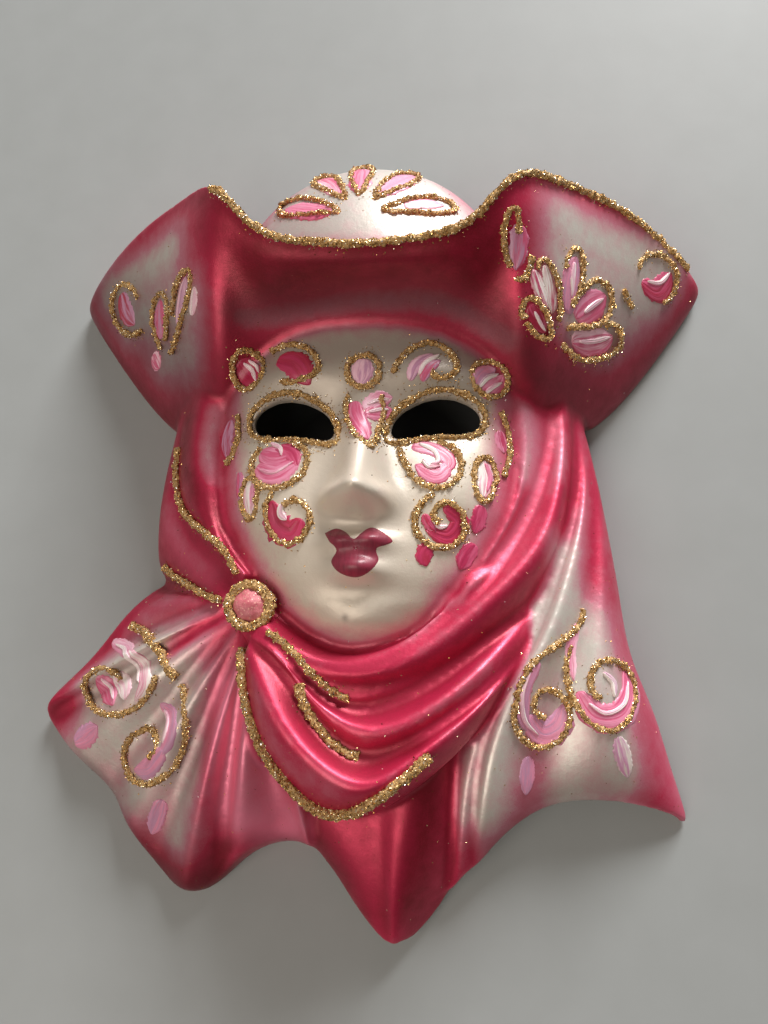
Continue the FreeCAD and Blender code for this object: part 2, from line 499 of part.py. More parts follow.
def wall(surface, thickness, steps_u, steps_v):
    """A closed solid: the surface, a second one behind it, and four strips along the edges.

    The inside of a slip cast is softer than its front, so the wall is laid off along softened directions.
    """
    us, vs = span(surface, steps_u, steps_v)
    middle = surface.normal(us[steps_u // 2], vs[steps_v // 2])
    inward = 1 if middle.y > 0 else -1
    directions = soften([[surface.normal(u, v) * inward for v in vs] for u in us], SOFTEN_ROUNDS)
    outer, inner = [], []
    for u, row in zip(us, directions):
        line = [surface.value(u, v) for v in vs]
        behind = [point + direction * thickness for point, direction in zip(line, row)]
        outer.append([in_front_of_wall(point) for point in line])
        inner.append([in_front_of_wall(point) for point in behind])
    front = surface_through(outer)
    back = surface_through(inner)
    faces = [front.toShape(), back.toShape()]
    f0, f1, g0, g1 = front.bounds()
    b0, b1, c0, c1 = back.bounds()
    for edge, other in ((front.uIso(f0), back.uIso(b0)), (front.uIso(f1), back.uIso(b1)),
                        (front.vIso(g0), back.vIso(c0)), (front.vIso(g1), back.vIso(c1))):
        faces.append(strip_between(edge, other))
    shell = Part.makeShell(faces)
    shell.sewShape()
    solid = Part.makeSolid(shell)
    if solid.Volume < 0:
        solid.reverse()
    return solid


# ---------------------------------------------------------------- relief
class Relief:
    """The front of the whole mask as depths over a grid of small cells."""

    CELL = 1.5

    def __init__(self):
        self.cells = {}

    def add(self, x, z, depth):
        key = (int(math.floor(x / self.CELL)), int(math.floor(z / self.CELL)))
        self.cells.setdefault(key, []).append((x, z, depth))

    def add_surface(self, surface, steps_u=180, steps_v=200):
        us, vs = span(surface, steps_u, steps_v)
        for u in us:
            for v in vs:
                point = surface.value(u, v)
                self.add(point.x, point.z, -point.y)

    def depth(self, x, z, reach=1.4):
        """The depth of the front at (x, z): near samples that belong to the top layer."""
        column, row = int(math.floor(x / self.CELL)), int(math.floor(z / self.CELL))
        near = []
        for i in (-1, 0, 1):
            for j in (-1, 0, 1):
                for sample in self.cells.get((column + i, row + j), ()):
                    distance = math.hypot(sample[0] - x, sample[1] - z)
                    if distance < reach:
                        near.append((distance, sample[2]))
        top = max(depth for distance, depth in near)
        total = weight = 0.0
        for distance, depth in near:
            if depth > top - 2.0:
                share = 1 / (0.1 + distance)
                total += depth * share
                weight += share
        return total / weight


def add_shape(label, shape):
    feature = doc.addObject("Part::Feature", label)
    feature.Label = label
    feature.Shape = shape
    feature.Placement = Placement()
    return feature


def tube(path, radius):
    """A round bead that follows a path of points, with flat ends."""
    rings = []
    side = None
    for before, point, after in zip(path[:1] + path[:-1], path, path[1:] + path[-1:]):
        along = after - before
        along.normalize()
        if side is None:
            side = along.cross(Vector(0, 1, 0))
        side = side - along * side.dot(along)
        side.normalize()
        up = along.cross(side)
        rings.append([point + side * (radius * math.cos(angle)) + up * (radius * math.sin(angle))
                      for angle in BEAD_ANGLES])
    skin = surface_through(rings)
    first, last = skin.bounds()[:2]
    caps = [Part.Face(Part.Wire([skin.uIso(end).toShape()])) for end in (first, last)]
    shell = Part.makeShell([skin.toShape()] + caps)
    shell.sewShape()
    solid = Part.makeSolid(shell)
    if solid.Volume < 0:
        solid.reverse()
    return solid


def bead_on_relief(points, radius, closed):
    """A bead that lies on the front of the mask; a loop stops just short of its own start."""
    guide = Part.BSplineCurve()
    guide.interpolate(Points=[Vector(x, 0, z) for x, z in points], PeriodicFlag=closed)
    length = guide.length()
    count = max(8, int(length / BEAD_STEP))
    first, last = guide.FirstParameter, guide.LastParameter
    if closed:
        last -= (last - first) * LOOP_SLIT / length
    flat = [guide.value(first + (last - first) * step / count) for step in range(count + 1)]
    depths = [relief.depth(point.x, point.z) for point in flat]
    for _ in range(2):
        depths = [(before + 2 * depth + after) / 4 for before, depth, after
                  in zip(depths[:1] + depths[:-1], depths, depths[1:] + depths[-1:])]
    path = [Vector(point.x, -depth - radius * BEAD_LIFT, point.z) for point, depth in zip(flat, depths)]
    return tube(path, radius)


# ---------------------------------------------------------------- cast pieces
THICKNESS = size("wall_thickness")
SOFTEN_ROUNDS = 12
BEAD_STEP = 2.2
BEAD_ANGLES = [math.pi * step / 6 for step in range(12)] + [0.0]
BEAD_LIFT = 0.2
LOOP_SLIT = 0.3
relief = Relief()
CAST_PIECES = {
    "tricorn_brim": (brim_net(), 28, 56),
    "hood_left": (HOOD_LEFT, 28, 20),
    "chin_wrap": (CHIN_WRAP, 26, 40),
    "shoulder_drape": (SHOULDER_DRAPE, 36, 40),
    "collar_folds": (COLLAR, 36, 32),
    "drape_tail": (TAIL, 24, 20),
    "pleated_fan": (fan_net(), 26, 56),
}
for label, (net, steps_u, steps_v) in CAST_PIECES.items():
    surface = relief_surface(net)
    relief.add_surface(surface)
    add_shape(label, wall(surface, THICKNESS, steps_u, steps_v))


def eye_opening(side):
    """A straight-sided plug through the face where an eye opening is cut."""
    curve = Part.BSplineCurve()
    curve.interpolate(Points=[Vector(side * x, -80, z) for x, z in EYE_OPENING], PeriodicFlag=True)
    outline = Part.Wire([curve.toShape()])
    return Part.Face(outline).extrude(Vector(0, 80, 0))


face_surface = relief_surface(face_net())
relief.add_surface(face_surface)
face = wall(face_surface, THICKNESS, 52, 46)
for side in (-1, 1):
    face = face.cut(eye_opening(side))
add_shape("face_shell", face.Solids[0])


# ---------------------------------------------------------------- hat crown
def origin_plane(body, role):
    return next(item for item in body.Origin.OriginFeatures if item.Role == role)


def new_sketch(body, name, role):
    sketch = body.newObject("Sketcher::SketchObject", name)
    sketch.AttachmentSupport = [(origin_plane(body, role), "")]
    sketch.MapMode = "FlatFace"
    return sketch


def crown_profile(sketch):
    """Half of the dome's section: a straight skirt, then a quarter of an ellipse, with its wall."""
    outer_r, skirt, rise, crown_wall = (size(alias) for alias in
                                        ("crown_radius", "crown_skirt", "crown_depth", "crown_wall"))
    inner_r, inner_rise = outer_r - crown_wall, rise - crown_wall
    outer = Part.Ellipse(Vector(0, skirt, 0), outer_r, rise)
    inner = Part.Ellipse(Vector(0, skirt, 0), inner_r, inner_rise)
    sketch.addGeometry([
        Part.LineSegment(Vector(inner_r, 0, 0), Vector(outer_r, 0, 0)),
        Part.LineSegment(Vector(outer_r, 0, 0), Vector(outer_r, skirt, 0)),
        Part.ArcOfEllipse(outer, 0, math.pi / 2),
        Part.LineSegment(Vector(0, skirt + rise, 0), Vector(0, skirt + inner_rise, 0)),
        Part.ArcOfEllipse(inner, 0, math.pi / 2),
        Part.LineSegment(Vector(inner_r, skirt, 0), Vector(inner_r, 0, 0)),
    ], False)


crown_body = doc.addObject("PartDesign::Body", "CrownDome")
crown_sketch = new_sketch(crown_body, "CrownProfile", "XY_Plane")
crown_profile(crown_sketch)
dome = crown_body.newObject("PartDesign::Revolution", "Dome")
dome.Profile = crown_sketch
dome.ReferenceAxis = (crown_sketch, ["V_Axis"])
dome.Angle = 360
crown_body.Placement = Placement(Vector(0, 0, 0), Rotation(Vector(0, 0, 1), 180))
crown_body.setExpression("Placement.Base.x", "Dimensions.crown_x")
crown_body.setExpression("Placement.Base.z", "Dimensions.crown_z")
below = doc.addObject("Part::Box", "BelowCrown")
below.setExpression("Length", "4 * Dimensions.crown_radius")
below.setExpression("Width", "4 * Dimensions.crown_radius")
below.setExpression("Height", "2 * Dimensions.crown_radius")
below.setExpression("Placement.Base.x", "Dimensions.crown_x - 2 * Dimensions.crown_radius")
below.setExpression("Placement.Base.y", "-2 * Dimensions.crown_radius")
below.setExpression("Placement.Base.z", "Dimensions.crown_cut_z - 2 * Dimensions.crown_radius")
crown = doc.addObject("Part::Cut", "HatCrown")
crown.Base = crown_body
crown.Tool = below
crown.Label = "hat_crown"


def add_crown_to_relief(rings=90, spokes=260):
    for ring in range(rings):
        lift = math.pi / 2 * ring / (rings - 1)
        radius = size("crown_radius") * math.cos(lift)
        depth = size("crown_skirt") + size("crown_depth") * math.sin(lift)
        for spoke in range(spokes):
            angle = 2 * math.pi * spoke / spokes
            z = size("crown_z") + radius * math.sin(angle)
            if z > size("crown_cut_z"):
                relief.add(size("crown_x") + radius * math.cos(angle), z, depth)


add_crown_to_relief()


# ---------------------------------------------------------------- brooch
def place(feature, x, y, z):
    """Bind a feature's place to expressions of the sheet."""
    feature.setExpression("Placement.Base.x", x)
    feature.setExpression("Placement.Base.y", y)
    feature.setExpression("Placement.Base.z", z)


ring = doc.addObject("Part::Torus", "BroochRing")
ring.setExpression("Radius1", "Dimensions.brooch_radius")
ring.setExpression("Radius2", "Dimensions.thick_bead_radius")
ring.Placement = Placement(Vector(0, 0, 0), Rotation(Vector(1, 0, 0), 90))
place(ring, "Dimensions.brooch_x", "-Dimensions.brooch_off_wall", "Dimensions.brooch_z")
ring.Label = "brooch_ring"


def stone_profile(sketch):
    """Half of the stone's section: a foot with straight sides under a shallow dome."""
    radius, height, seat = size("stone_radius"), size("stone_height"), size("stone_seat")
    dome_radius = (radius ** 2 + height ** 2) / (2 * height)
    rim_angle = math.asin((dome_radius - height) / dome_radius)
    dome_circle = Part.Circle(Vector(0, height - dome_radius, 0), Vector(0, 0, 1), dome_radius)
    sketch.addGeometry([
        Part.LineSegment(Vector(0, -seat, 0), Vector(radius, -seat, 0)),
        Part.LineSegment(Vector(radius, -seat, 0), Vector(radius, 0, 0)),
        Part.ArcOfCircle(dome_circle, rim_angle, math.pi / 2),
        Part.LineSegment(Vector(0, height, 0), Vector(0, -seat, 0)),
    ], False)


stone = doc.addObject("PartDesign::Body", "BroochStone")
stone_sketch = new_sketch(stone, "StoneProfile", "XY_Plane")
stone_profile(stone_sketch)
stone_turn = stone.newObject("PartDesign::Revolution", "StoneTurn")
stone_turn.Profile = stone_sketch
stone_turn.ReferenceAxis = (stone_sketch, ["V_Axis"])
stone_turn.Angle = 360
stone.Placement = Placement(Vector(0, 0, 0), Rotation(Vector(0, 0, 1), 180))
place(stone, "Dimensions.brooch_x", "-Dimensions.brooch_off_wall", "Dimensions.brooch_z")
stone.Label = "brooch_stone"


# ---------------------------------------------------------------- hanging loop and its lugs
def add_wire(name, length, turn, x, z):
    """A straight piece of the loop's wire on its hinge plane."""
    wire = doc.addObject("Part::Cylinder", name)
    wire.setExpression("Radius", "Dimensions.wire_radius")
    wire.setExpression("Height", length)
    wire.Placement = Placement(Vector(0, 0, 0), turn)
    place(wire, x, "-Dimensions.loop_depth", z)
    return wire


def add_lug(label, middle_x):
    """A post from the crown's inside that carries one end of the loop in a drilled hole."""
    post = doc.addObject("Part::Box", label + "_post")
    post.setExpression("Length", "Dimensions.lug_width")
    post.setExpression("Width", "Dimensions.lug_reach")
    post.setExpression("Height", "Dimensions.lug_size")
    place(post, middle_x + " - Dimensions.lug_width / 2",
          "-Dimensions.loop_depth + Dimensions.lug_size / 2 - Dimensions.lug_reach",
          "Dimensions.loop_z - Dimensions.lug_size / 2")
    hole = doc.addObject("Part::Cylinder", label + "_hole")
    hole.setExpression("Radius", "Dimensions.wire_radius + Dimensions.pivot_gap")
    hole.setExpression("Height", "3 * Dimensions.lug_width")
    hole.Placement = Placement(Vector(0, 0, 0), Rotation(Vector(0, 1, 0), 90))
    place(hole, middle_x + " - 1.5 * Dimensions.lug_width", "-Dimensions.loop_depth", "Dimensions.loop_z")
    lug = doc.addObject("Part::Cut", label)
    lug.Base = post
    lug.Tool = hole
    lug.Label = label


UPRIGHT = Rotation()
TO_RIGHT = Rotation(Vector(0, 1, 0), 90)
TO_LEFT = Rotation(Vector(0, 1, 0), -90)
LUG_OFFSET = "(Dimensions.loop_radius + Dimensions.wire_radius + Dimensions.loop_gap" \
             " + Dimensions.lug_width / 2)"
wires = []
for side, sign, outward in (("Left", "-", TO_LEFT), ("Right", "+", TO_RIGHT)):
    leg_x = "Dimensions.crown_x %s Dimensions.loop_radius" % sign
    wires.append(add_wire(side + "Leg", "Dimensions.loop_leg", UPRIGHT, leg_x, "Dimensions.loop_z"))
    wires.append(add_wire(side + "Pin", "Dimensions.pin_reach", outward, leg_x, "Dimensions.loop_z"))
    corner = doc.addObject("Part::Sphere", side + "Corner")
    corner.setExpression("Radius", "Dimensions.wire_radius")
    place(corner, leg_x, "-Dimensions.loop_depth", "Dimensions.loop_z")
    wires.append(corner)
    add_lug("loop_lug_" + side.lower(), "Dimensions.crown_x %s %s" % (sign, LUG_OFFSET))
bend = doc.addObject("Part::Torus", "LoopBend")
bend.setExpression("Radius1", "Dimensions.loop_radius")
bend.setExpression("Radius2", "Dimensions.wire_radius")
bend.Angle3 = 180
bend.Placement = Placement(Vector(0, 0, 0), Rotation(Vector(1, 0, 0), 90))
place(bend, "Dimensions.crown_x", "-Dimensions.loop_depth", "Dimensions.loop_z + Dimensions.loop_leg")
wires.append(bend)
loop = doc.addObject("Part::MultiFuse", "HangingLoop")
loop.Shapes = wires
loop.Label = "hanging_loop"

# ---------------------------------------------------------------- glitter lines
for label, lines in GLITTER.items():
    beads = [bead_on_relief(points, size(radius), closed) for closed, radius, points in lines]
    add_shape(label, Part.makeCompound(beads) if len(beads) > 1 else beads[0])


def brim_edge_path(first=5.0, last=16.7, steps=90):
    """Points along the front of the brim's edge, from its left peak to the tip of its right wing."""
    brim = relief_surface(brim_net())
    edge_row = 4.35
    return [brim.value(edge_row, first + (last - first) * step / steps) for step in range(steps + 1)]


add_shape("brim_edge_glitter", tube(brim_edge_path(), size("bead_radius")))

# ---------------------------------------------------------------- check and write
NODES = list(CAST_PIECES) + list(GLITTER) + [
    "face_shell", "hat_crown", "brim_edge_glitter", "brooch_ring", "brooch_stone",
    "loop_lug_left", "loop_lug_right", "hanging_loop",
]
doc.recompute()
for item in doc.Objects:
    if "Invalid" in item.State or "Error" in item.State:
        raise RuntimeError("feature failed: " + item.Name)
for node in NODES:
    shape = doc.getObjectsByLabel(node)[0].Shape
    if shape.isNull() or not shape.isValid() or shape.Volume <= 0:
        raise RuntimeError("bad shape: " + node)
    shape.exportStep("parts/%s.step" % node)
print(len(NODES), "nodes")
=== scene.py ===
import bpy
import numpy as np
from mathutils import Matrix, Vector
from mathutils.bvhtree import BVHTree


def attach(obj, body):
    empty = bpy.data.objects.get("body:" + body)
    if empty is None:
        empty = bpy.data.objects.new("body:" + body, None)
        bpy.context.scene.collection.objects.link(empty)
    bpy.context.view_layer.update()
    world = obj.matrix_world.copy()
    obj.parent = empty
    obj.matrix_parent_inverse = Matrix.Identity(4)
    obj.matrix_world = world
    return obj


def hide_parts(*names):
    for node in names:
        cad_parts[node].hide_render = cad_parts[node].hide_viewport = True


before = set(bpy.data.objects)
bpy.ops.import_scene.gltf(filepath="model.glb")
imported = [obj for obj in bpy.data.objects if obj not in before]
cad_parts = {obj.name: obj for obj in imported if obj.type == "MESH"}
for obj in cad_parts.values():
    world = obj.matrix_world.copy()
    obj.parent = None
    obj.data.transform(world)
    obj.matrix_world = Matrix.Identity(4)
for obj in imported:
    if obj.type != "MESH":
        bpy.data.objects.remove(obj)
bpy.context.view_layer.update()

# Looks of a half-size ceramic wall mask. Points are (x, z) in millimetres in the frame of the CAD
# model: x to the viewer's right and z up. A point is dropped onto the front of the mask along y.

MM = 0.001
BODY = "mask"
BRIM = ["tricorn_brim"]
CROWN = ["hat_crown"]
FACE = ["face_shell"]
HOOD = ["hood_left"]
WRAP = ["chin_wrap"]
SHOULDER = ["shoulder_drape"]
COLLAR = ["collar_folds"]
TAIL = ["drape_tail"]
FAN = ["pleated_fan"]
CAST_NODES = BRIM + CROWN + FACE + HOOD + WRAP + SHOULDER + COLLAR + TAIL + FAN
LINE_NODES = sorted(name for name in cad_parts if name.endswith("_glitter")) + ["brooch_ring"]
WELD_REACH = 0.01  # millimetres
CURVE_STEPS = 12  # points for each span of a curve
rng = np.random.default_rng(7)


# ---------------------------------------------------------------- mesh helpers
def vertex_points(mesh):
    values = np.zeros(len(mesh.vertices) * 3, np.float32)
    mesh.vertices.foreach_get("co", values)
    return values.reshape(-1, 3).astype(float)


def vertex_normals(mesh):
    values = np.zeros(len(mesh.vertices) * 3, np.float32)
    mesh.vertex_normals.foreach_get("vector", values)
    return values.reshape(-1, 3).astype(float)


def triangles(mesh):
    """The triangles of a mesh as rows of three point numbers."""
    mesh.calc_loop_triangles()
    corners = np.zeros(len(mesh.loop_triangles) * 3, np.int32)
    mesh.loop_triangles.foreach_get("vertices", corners)
    return corners.reshape(-1, 3)


def cad_arrays(name):
    """The points, in metres, and the triangles of a CAD node."""
    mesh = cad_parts[name].data
    return vertex_points(mesh), triangles(mesh)


def joined_arrays(names):
    """Several CAD nodes as one set of points and triangles, and the node that each triangle is from."""
    points, faces, owners = [], [], []
    offset = 0
    for index, name in enumerate(names):
        node_points, node_faces = cad_arrays(name)
        points.append(node_points)
        faces.append(node_faces + offset)
        owners.append(np.full(len(node_faces), index))
        offset += len(node_points)
    return np.concatenate(points), np.concatenate(faces), np.concatenate(owners)


def new_object(name, points, faces):
    """A mesh object; all its faces have the same number of corners."""
    mesh = bpy.data.meshes.new(name)
    mesh.vertices.add(len(points))
    mesh.vertices.foreach_set("co", np.asarray(points, np.float32).ravel())
    sides = len(faces[0])
    corners = np.asarray(faces, np.int32).ravel()
    mesh.loops.add(len(corners))
    mesh.loops.foreach_set("vertex_index", corners)
    mesh.polygons.add(len(faces))
    mesh.polygons.foreach_set("loop_start", np.arange(0, len(corners), sides, dtype=np.int32))
    mesh.update(calc_edges=True)
    mesh.validate()
    obj = bpy.data.objects.new(name, mesh)
    bpy.context.scene.collection.objects.link(obj)
    return obj


def remesh(obj, voxel, smooth_steps, grow=0.0):
    """One closed skin round everything in the mesh, grown by some millimetres to fill the cracks."""
    weld = obj.modifiers.new("weld", "WELD")
    weld.merge_threshold = WELD_REACH * MM
    if grow:
        swell = obj.modifiers.new("swell", "DISPLACE")
        swell.mid_level = 0.0
        swell.strength = grow * MM
    skin = obj.modifiers.new("skin", "REMESH")
    skin.mode = "VOXEL"
    skin.voxel_size = voxel * MM
    if smooth_steps:
        soften = obj.modifiers.new("soften", "SMOOTH")
        soften.factor = 0.5
        soften.iterations = smooth_steps
    graph = bpy.context.evaluated_depsgraph_get()
    mesh = bpy.data.meshes.new_from_object(obj.evaluated_get(graph))
    obj.modifiers.clear()
    rough = obj.data
    obj.data = mesh
    bpy.data.meshes.remove(rough)


def set_points(mesh, points):
    mesh.vertices.foreach_set("co", points.astype(np.float32).ravel())
    mesh.update()


def set_value(mesh, name, values):
    attribute = mesh.attributes.new(name, "FLOAT", "POINT")
    attribute.data.foreach_set("value", np.asarray(values, np.float32))


def set_color(mesh, name, colors):
    attribute = mesh.attributes.new(name, "FLOAT_COLOR", "POINT")
    rgba = np.concatenate([colors, np.ones((len(colors), 1))], axis=1)
    attribute.data.foreach_set("color", rgba.astype(np.float32).ravel())


def shade(obj, smooth):
    obj.data.polygons.foreach_set("use_smooth", np.full(len(obj.data.polygons), smooth))
    obj.data.update()


def put_on(obj, material, slot, *nodes):
    """Finishes a piece: its material, its body, and the CAD nodes it stands for, which it hides. The slot
    argument is not used.
    """
    obj.data.materials.clear()
    obj.data.materials.append(material)
    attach(obj, BODY)
    if nodes:
        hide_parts(*nodes)


class Neighbours:
    """The edges of a mesh, to average values over neighbouring points."""

    def __init__(self, mesh):
        ends = np.zeros(len(mesh.edges) * 2, np.int32)
        mesh.edges.foreach_get("vertices", ends)
        self.first, self.second = ends.reshape(-1, 2).T
        self.count = len(mesh.vertices)
        self.number = np.bincount(ends, minlength=self.count)

    def mean(self, values):
        total = np.bincount(self.first, values[self.second], self.count)
        total += np.bincount(self.second, values[self.first], self.count)
        return total / np.maximum(self.number, 1)

    def smooth(self, values, rounds):
        for _ in range(rounds):
            values = 0.5 * values + 0.5 * self.mean(values)
        return values

    def smooth_rows(self, rows, rounds):
        return np.stack([self.smooth(rows[:, k], rounds) for k in range(rows.shape[1])], axis=1)


def smooth_path(points, count):
    """An even run of points along a Catmull-Rom curve."""
    points = np.array(points, float)
    if len(points) < 3:
        points = np.array([points[0], (points[0] + points[-1]) / 2, points[-1]])
    ends = np.concatenate([[2 * points[0] - points[1]], points, [2 * points[-1] - points[-2]]])
    run = []
    for i in range(1, len(ends) - 2):
        a, b, c, d = ends[i - 1:i + 3]
        for t in np.linspace(0, 1, CURVE_STEPS, endpoint=False):
            run.append(0.5 * (2 * b + (c - a) * t + (2 * a - 5 * b + 4 * c - d) * t ** 2
                              + (3 * b - a - 3 * c + d) * t ** 3))
    run.append(points[-1])
    run = np.array(run)
    travelled = np.concatenate([[0], np.cumsum(np.linalg.norm(np.diff(run, axis=0), axis=1))])
    at = np.linspace(0, travelled[-1], count)
    return np.stack([np.interp(at, travelled, run[:, k]) for k in range(run.shape[1])], axis=1)


def distance_to_line(x, z, points):
    """How far each (x, z) is from a line of points."""
    best = np.full(len(x), 1e9)
    for (x0, z0), (x1, z1) in zip(points, points[1:]):
        run_x, run_z = x1 - x0, z1 - z0
        share = np.clip(((x - x0) * run_x + (z - z0) * run_z) / (run_x ** 2 + run_z ** 2 + 1e-9), 0, 1)
        best = np.minimum(best, np.hypot(x - x0 - share * run_x, z - z0 - share * run_z))
    return best


# ---------------------------------------------------------------- node helpers
def color_of(hex_code):
    """A screen colour such as 'c81e46' as the light value that Blender uses."""
    screen = np.array([int(hex_code[i:i + 2], 16) / 255 for i in (0, 2, 4)])
    return np.where(screen < 0.04045, screen / 12.92, ((screen + 0.055) / 1.055) ** 2.4)


def new_material(name):
    material = bpy.data.materials.new(name)
    material.use_nodes = True
    material.node_tree.nodes.clear()
    return material, material.node_tree


def node(tree, kind, inputs=None, **settings):
    made = tree.nodes.new("ShaderNode" + kind)
    for key, value in settings.items():
        setattr(made, key, value)
    for key, value in (inputs or {}).items():
        if isinstance(value, bpy.types.NodeSocket):
            tree.links.new(value, made.inputs[key])
        else:
            made.inputs[key].default_value = value
    return made


def attribute(tree, name, output="Fac"):
    return node(tree, "Attribute", attribute_name=name).outputs[output]


def place(tree):
    return node(tree, "TexCoord").outputs["Object"]


def noise_value(tree, scale, detail=3.0, roughness=0.55, vector=None):
    made = node(tree, "TexNoise", {"Vector": vector or place(tree), "Scale": scale, "Detail": detail,
                                   "Roughness": roughness})
    return made.outputs["Fac"]


def remap(tree, value, low, high, to_low, to_high):
    return node(tree, "MapRange", {"Value": value, "From Min": low, "From Max": high,
                                   "To Min": to_low, "To Max": to_high}).outputs["Result"]


def varied(tree, noise, low, high):
    """A noise value, which mostly lies between 0.3 and 0.7, stretched to run from low to high."""
    return remap(tree, noise, 0.3, 0.7, low, high)


def math_node(tree, operation, first, second=0.0):
    return node(tree, "Math", {0: first, 1: second}, operation=operation).outputs[0]


def mix_color(tree, factor, first, second, blend="MIX"):
    made = node(tree, "Mix", data_type="RGBA", blend_type=blend)
    for socket, value in zip((made.inputs[0], made.inputs[6], made.inputs[7]), (factor, first, second)):
        if isinstance(value, bpy.types.NodeSocket):
            tree.links.new(value, socket)
        elif np.ndim(value) == 0:
            socket.default_value = value
        else:
            socket.default_value = (*value, 1.0)
    return made.outputs[2]


def color_ramp(tree, value, stops):
    made = node(tree, "ValToRGB", {"Fac": value})
    ramp = made.color_ramp
    while len(ramp.elements) < len(stops):
        ramp.elements.new(0.5)
    for element, (position, color) in zip(ramp.elements, stops):
        element.position = position
        element.color = (*color, 1.0)
    return made.outputs["Color"]


def bump(tree, height, distance, strength=1.0, normal=None):
    inputs = {"Height": height, "Distance": distance, "Strength": strength}
    if normal:
        inputs["Normal"] = normal
    return node(tree, "Bump", inputs).outputs["Normal"]


def surface(tree, shader):
    node(tree, "OutputMaterial", {"Surface": shader})


def principled(tree, color, roughness, metallic, normal=None, **extra):
    inputs = {"Roughness": roughness, "Metallic": metallic}
    if normal:
        inputs["Normal"] = normal
    inputs.update(extra)
    made = node(tree, "BsdfPrincipled", inputs)
    if isinstance(color, bpy.types.NodeSocket):
        tree.links.new(color, made.inputs["Base Color"])
    else:
        made.inputs["Base Color"].default_value = (*color, 1.0)
    return made.outputs["BSDF"]


# ---------------------------------------------------------------- materials
SILVER = color_of("d6d0c8")
PEARL = color_of("d8cdbe")
DUSTY = color_of("d07f92")
CRIMSON = color_of("c2284e")
DEEP = color_of("820c24")
BISQUE = color_of("e6dccb")
VALLEY_SHADE_GREY = color_of("6e625c")
PAINTED_SHADE = color_of("3f2c2b")
HIGHLIGHT_PINK = color_of("f58aa8")
DARK_SPOT_COLOR = color_of("5a4b46")


def pearl_paint():
    """Silver pearl sprayed over the cast, with crimson pearl sprayed over that, painted shade in its
    valleys and as a smoky glaze, and painted highlights in rose pearl; bare clay inside.
    """
    material, tree = new_material("pearl_paint")
    mottle = noise_value(tree, 260.0)
    grain = noise_value(tree, 2600.0, detail=2.0)
    spray = math_node(tree, "ADD", attribute(tree, "crimson"), varied(tree, mottle, -0.05, 0.05))
    spray = math_node(tree, "ADD", spray, varied(tree, grain, -0.03, 0.03))
    pearl = attribute(tree, "pearl")
    base = mix_color(tree, pearl, SILVER, PEARL)
    color = color_ramp(tree, spray, [(0.0, DUSTY), (0.32, DUSTY), (0.68, CRIMSON), (1.0, DEEP)])
    color = mix_color(tree, remap(tree, spray, 0.03, 0.34, 0.0, 1.0), base, color)
    # Painted shade: the valleys of the folds are darkened, grey in the silver and deep crimson in the
    # crimson.
    valley = attribute(tree, "cavity")
    valley_shade = mix_color(tree, remap(tree, spray, 0.1, 0.4, 0.0, 1.0), VALLEY_SHADE_GREY, DEEP)
    color = mix_color(tree, math_node(tree, "MULTIPLY", valley, 0.5), color, valley_shade)
    # Painted shade: the smoky glaze darkens the colour where shade falls.
    color = mix_color(tree, attribute(tree, "painted_shade"), color, PAINTED_SHADE)
    # Painted highlight: light rose pearl where the folds catch the light.
    color = mix_color(tree, attribute(tree, "painted_highlight"), color, HIGHLIGHT_PINK)
    clay = mix_color(tree, noise_value(tree, 420.0), BISQUE, BISQUE * 0.8)
    clay = mix_color(tree, attribute(tree, "overspray"), clay, CRIMSON)
    outside = attribute(tree, "outside")
    color = mix_color(tree, outside, clay, color)
    color = mix_color(tree, attribute(tree, "chin_dark_spot"), color, DARK_SPOT_COLOR)
    roughness = remap(tree, outside, 0.0, 1.0, 0.85, varied(tree, mottle, 0.38, 0.48))
    metallic = math_node(tree, "MULTIPLY", outside, remap(tree, pearl, 0, 1, 0.46, 0.26))
    coat = math_node(tree, "MULTIPLY", outside, 0.12)
    normal = bump(tree, noise_value(tree, 700.0), 0.00006)
    normal = bump(tree, grain, 0.00003, normal=normal)
    surface(tree, principled(tree, color, roughness, metallic, normal,
                             **{"Coat Weight": coat, "Coat Roughness": 0.3}))
    return material


def gold_glitter():
    """Clear glue full of gold flakes; every flake has a tint of its own."""
    material, tree = new_material("gold_glitter")
    tint = attribute(tree, "tint", "Color")
    flake = attribute(tree, "flake")
    roughness = remap(tree, flake, 0.0, 1.0, 0.5, 0.2)
    metallic = remap(tree, flake, 0.0, 1.0, 0.2, 0.85)
    normal = bump(tree, noise_value(tree, 3200.0), 0.0001, strength=0.6)
    surface(tree, principled(tree, tint, roughness, metallic, normal))
    return material


def brushed_paint(name, roughness_low, roughness_high):
    """Thick acrylic laid on with a brush that carried two colours, so it is streaked along its way."""
    material, tree = new_material(name)
    streak_place = node(tree, "CombineXYZ", {"X": attribute(tree, "along"), "Y": attribute(tree, "across"),
                                             "Z": attribute(tree, "batch")}).outputs[0]
    streaks = noise_value(tree, 1.0, detail=4.0, roughness=0.6, vector=streak_place)
    light_side = math_node(tree, "MULTIPLY", attribute(tree, "side"), 0.08)
    share = remap(tree, math_node(tree, "ADD", streaks, light_side), 0.43, 0.6, 0.0, 1.0)
    first = attribute(tree, "paint", "Color")
    second = attribute(tree, "second_paint", "Color")
    color = mix_color(tree, share, first, second)
    color = mix_color(tree, varied(tree, noise_value(tree, 500.0), 0.0, 0.12), color, CRIMSON)
    roughness = varied(tree, streaks, roughness_low, roughness_high)
    normal = bump(tree, streaks, 0.0002)
    surface(tree, principled(tree, color, roughness, 0.0, normal,
                             **{"Coat Weight": 0.3, "Coat Roughness": 0.25}))
    return material


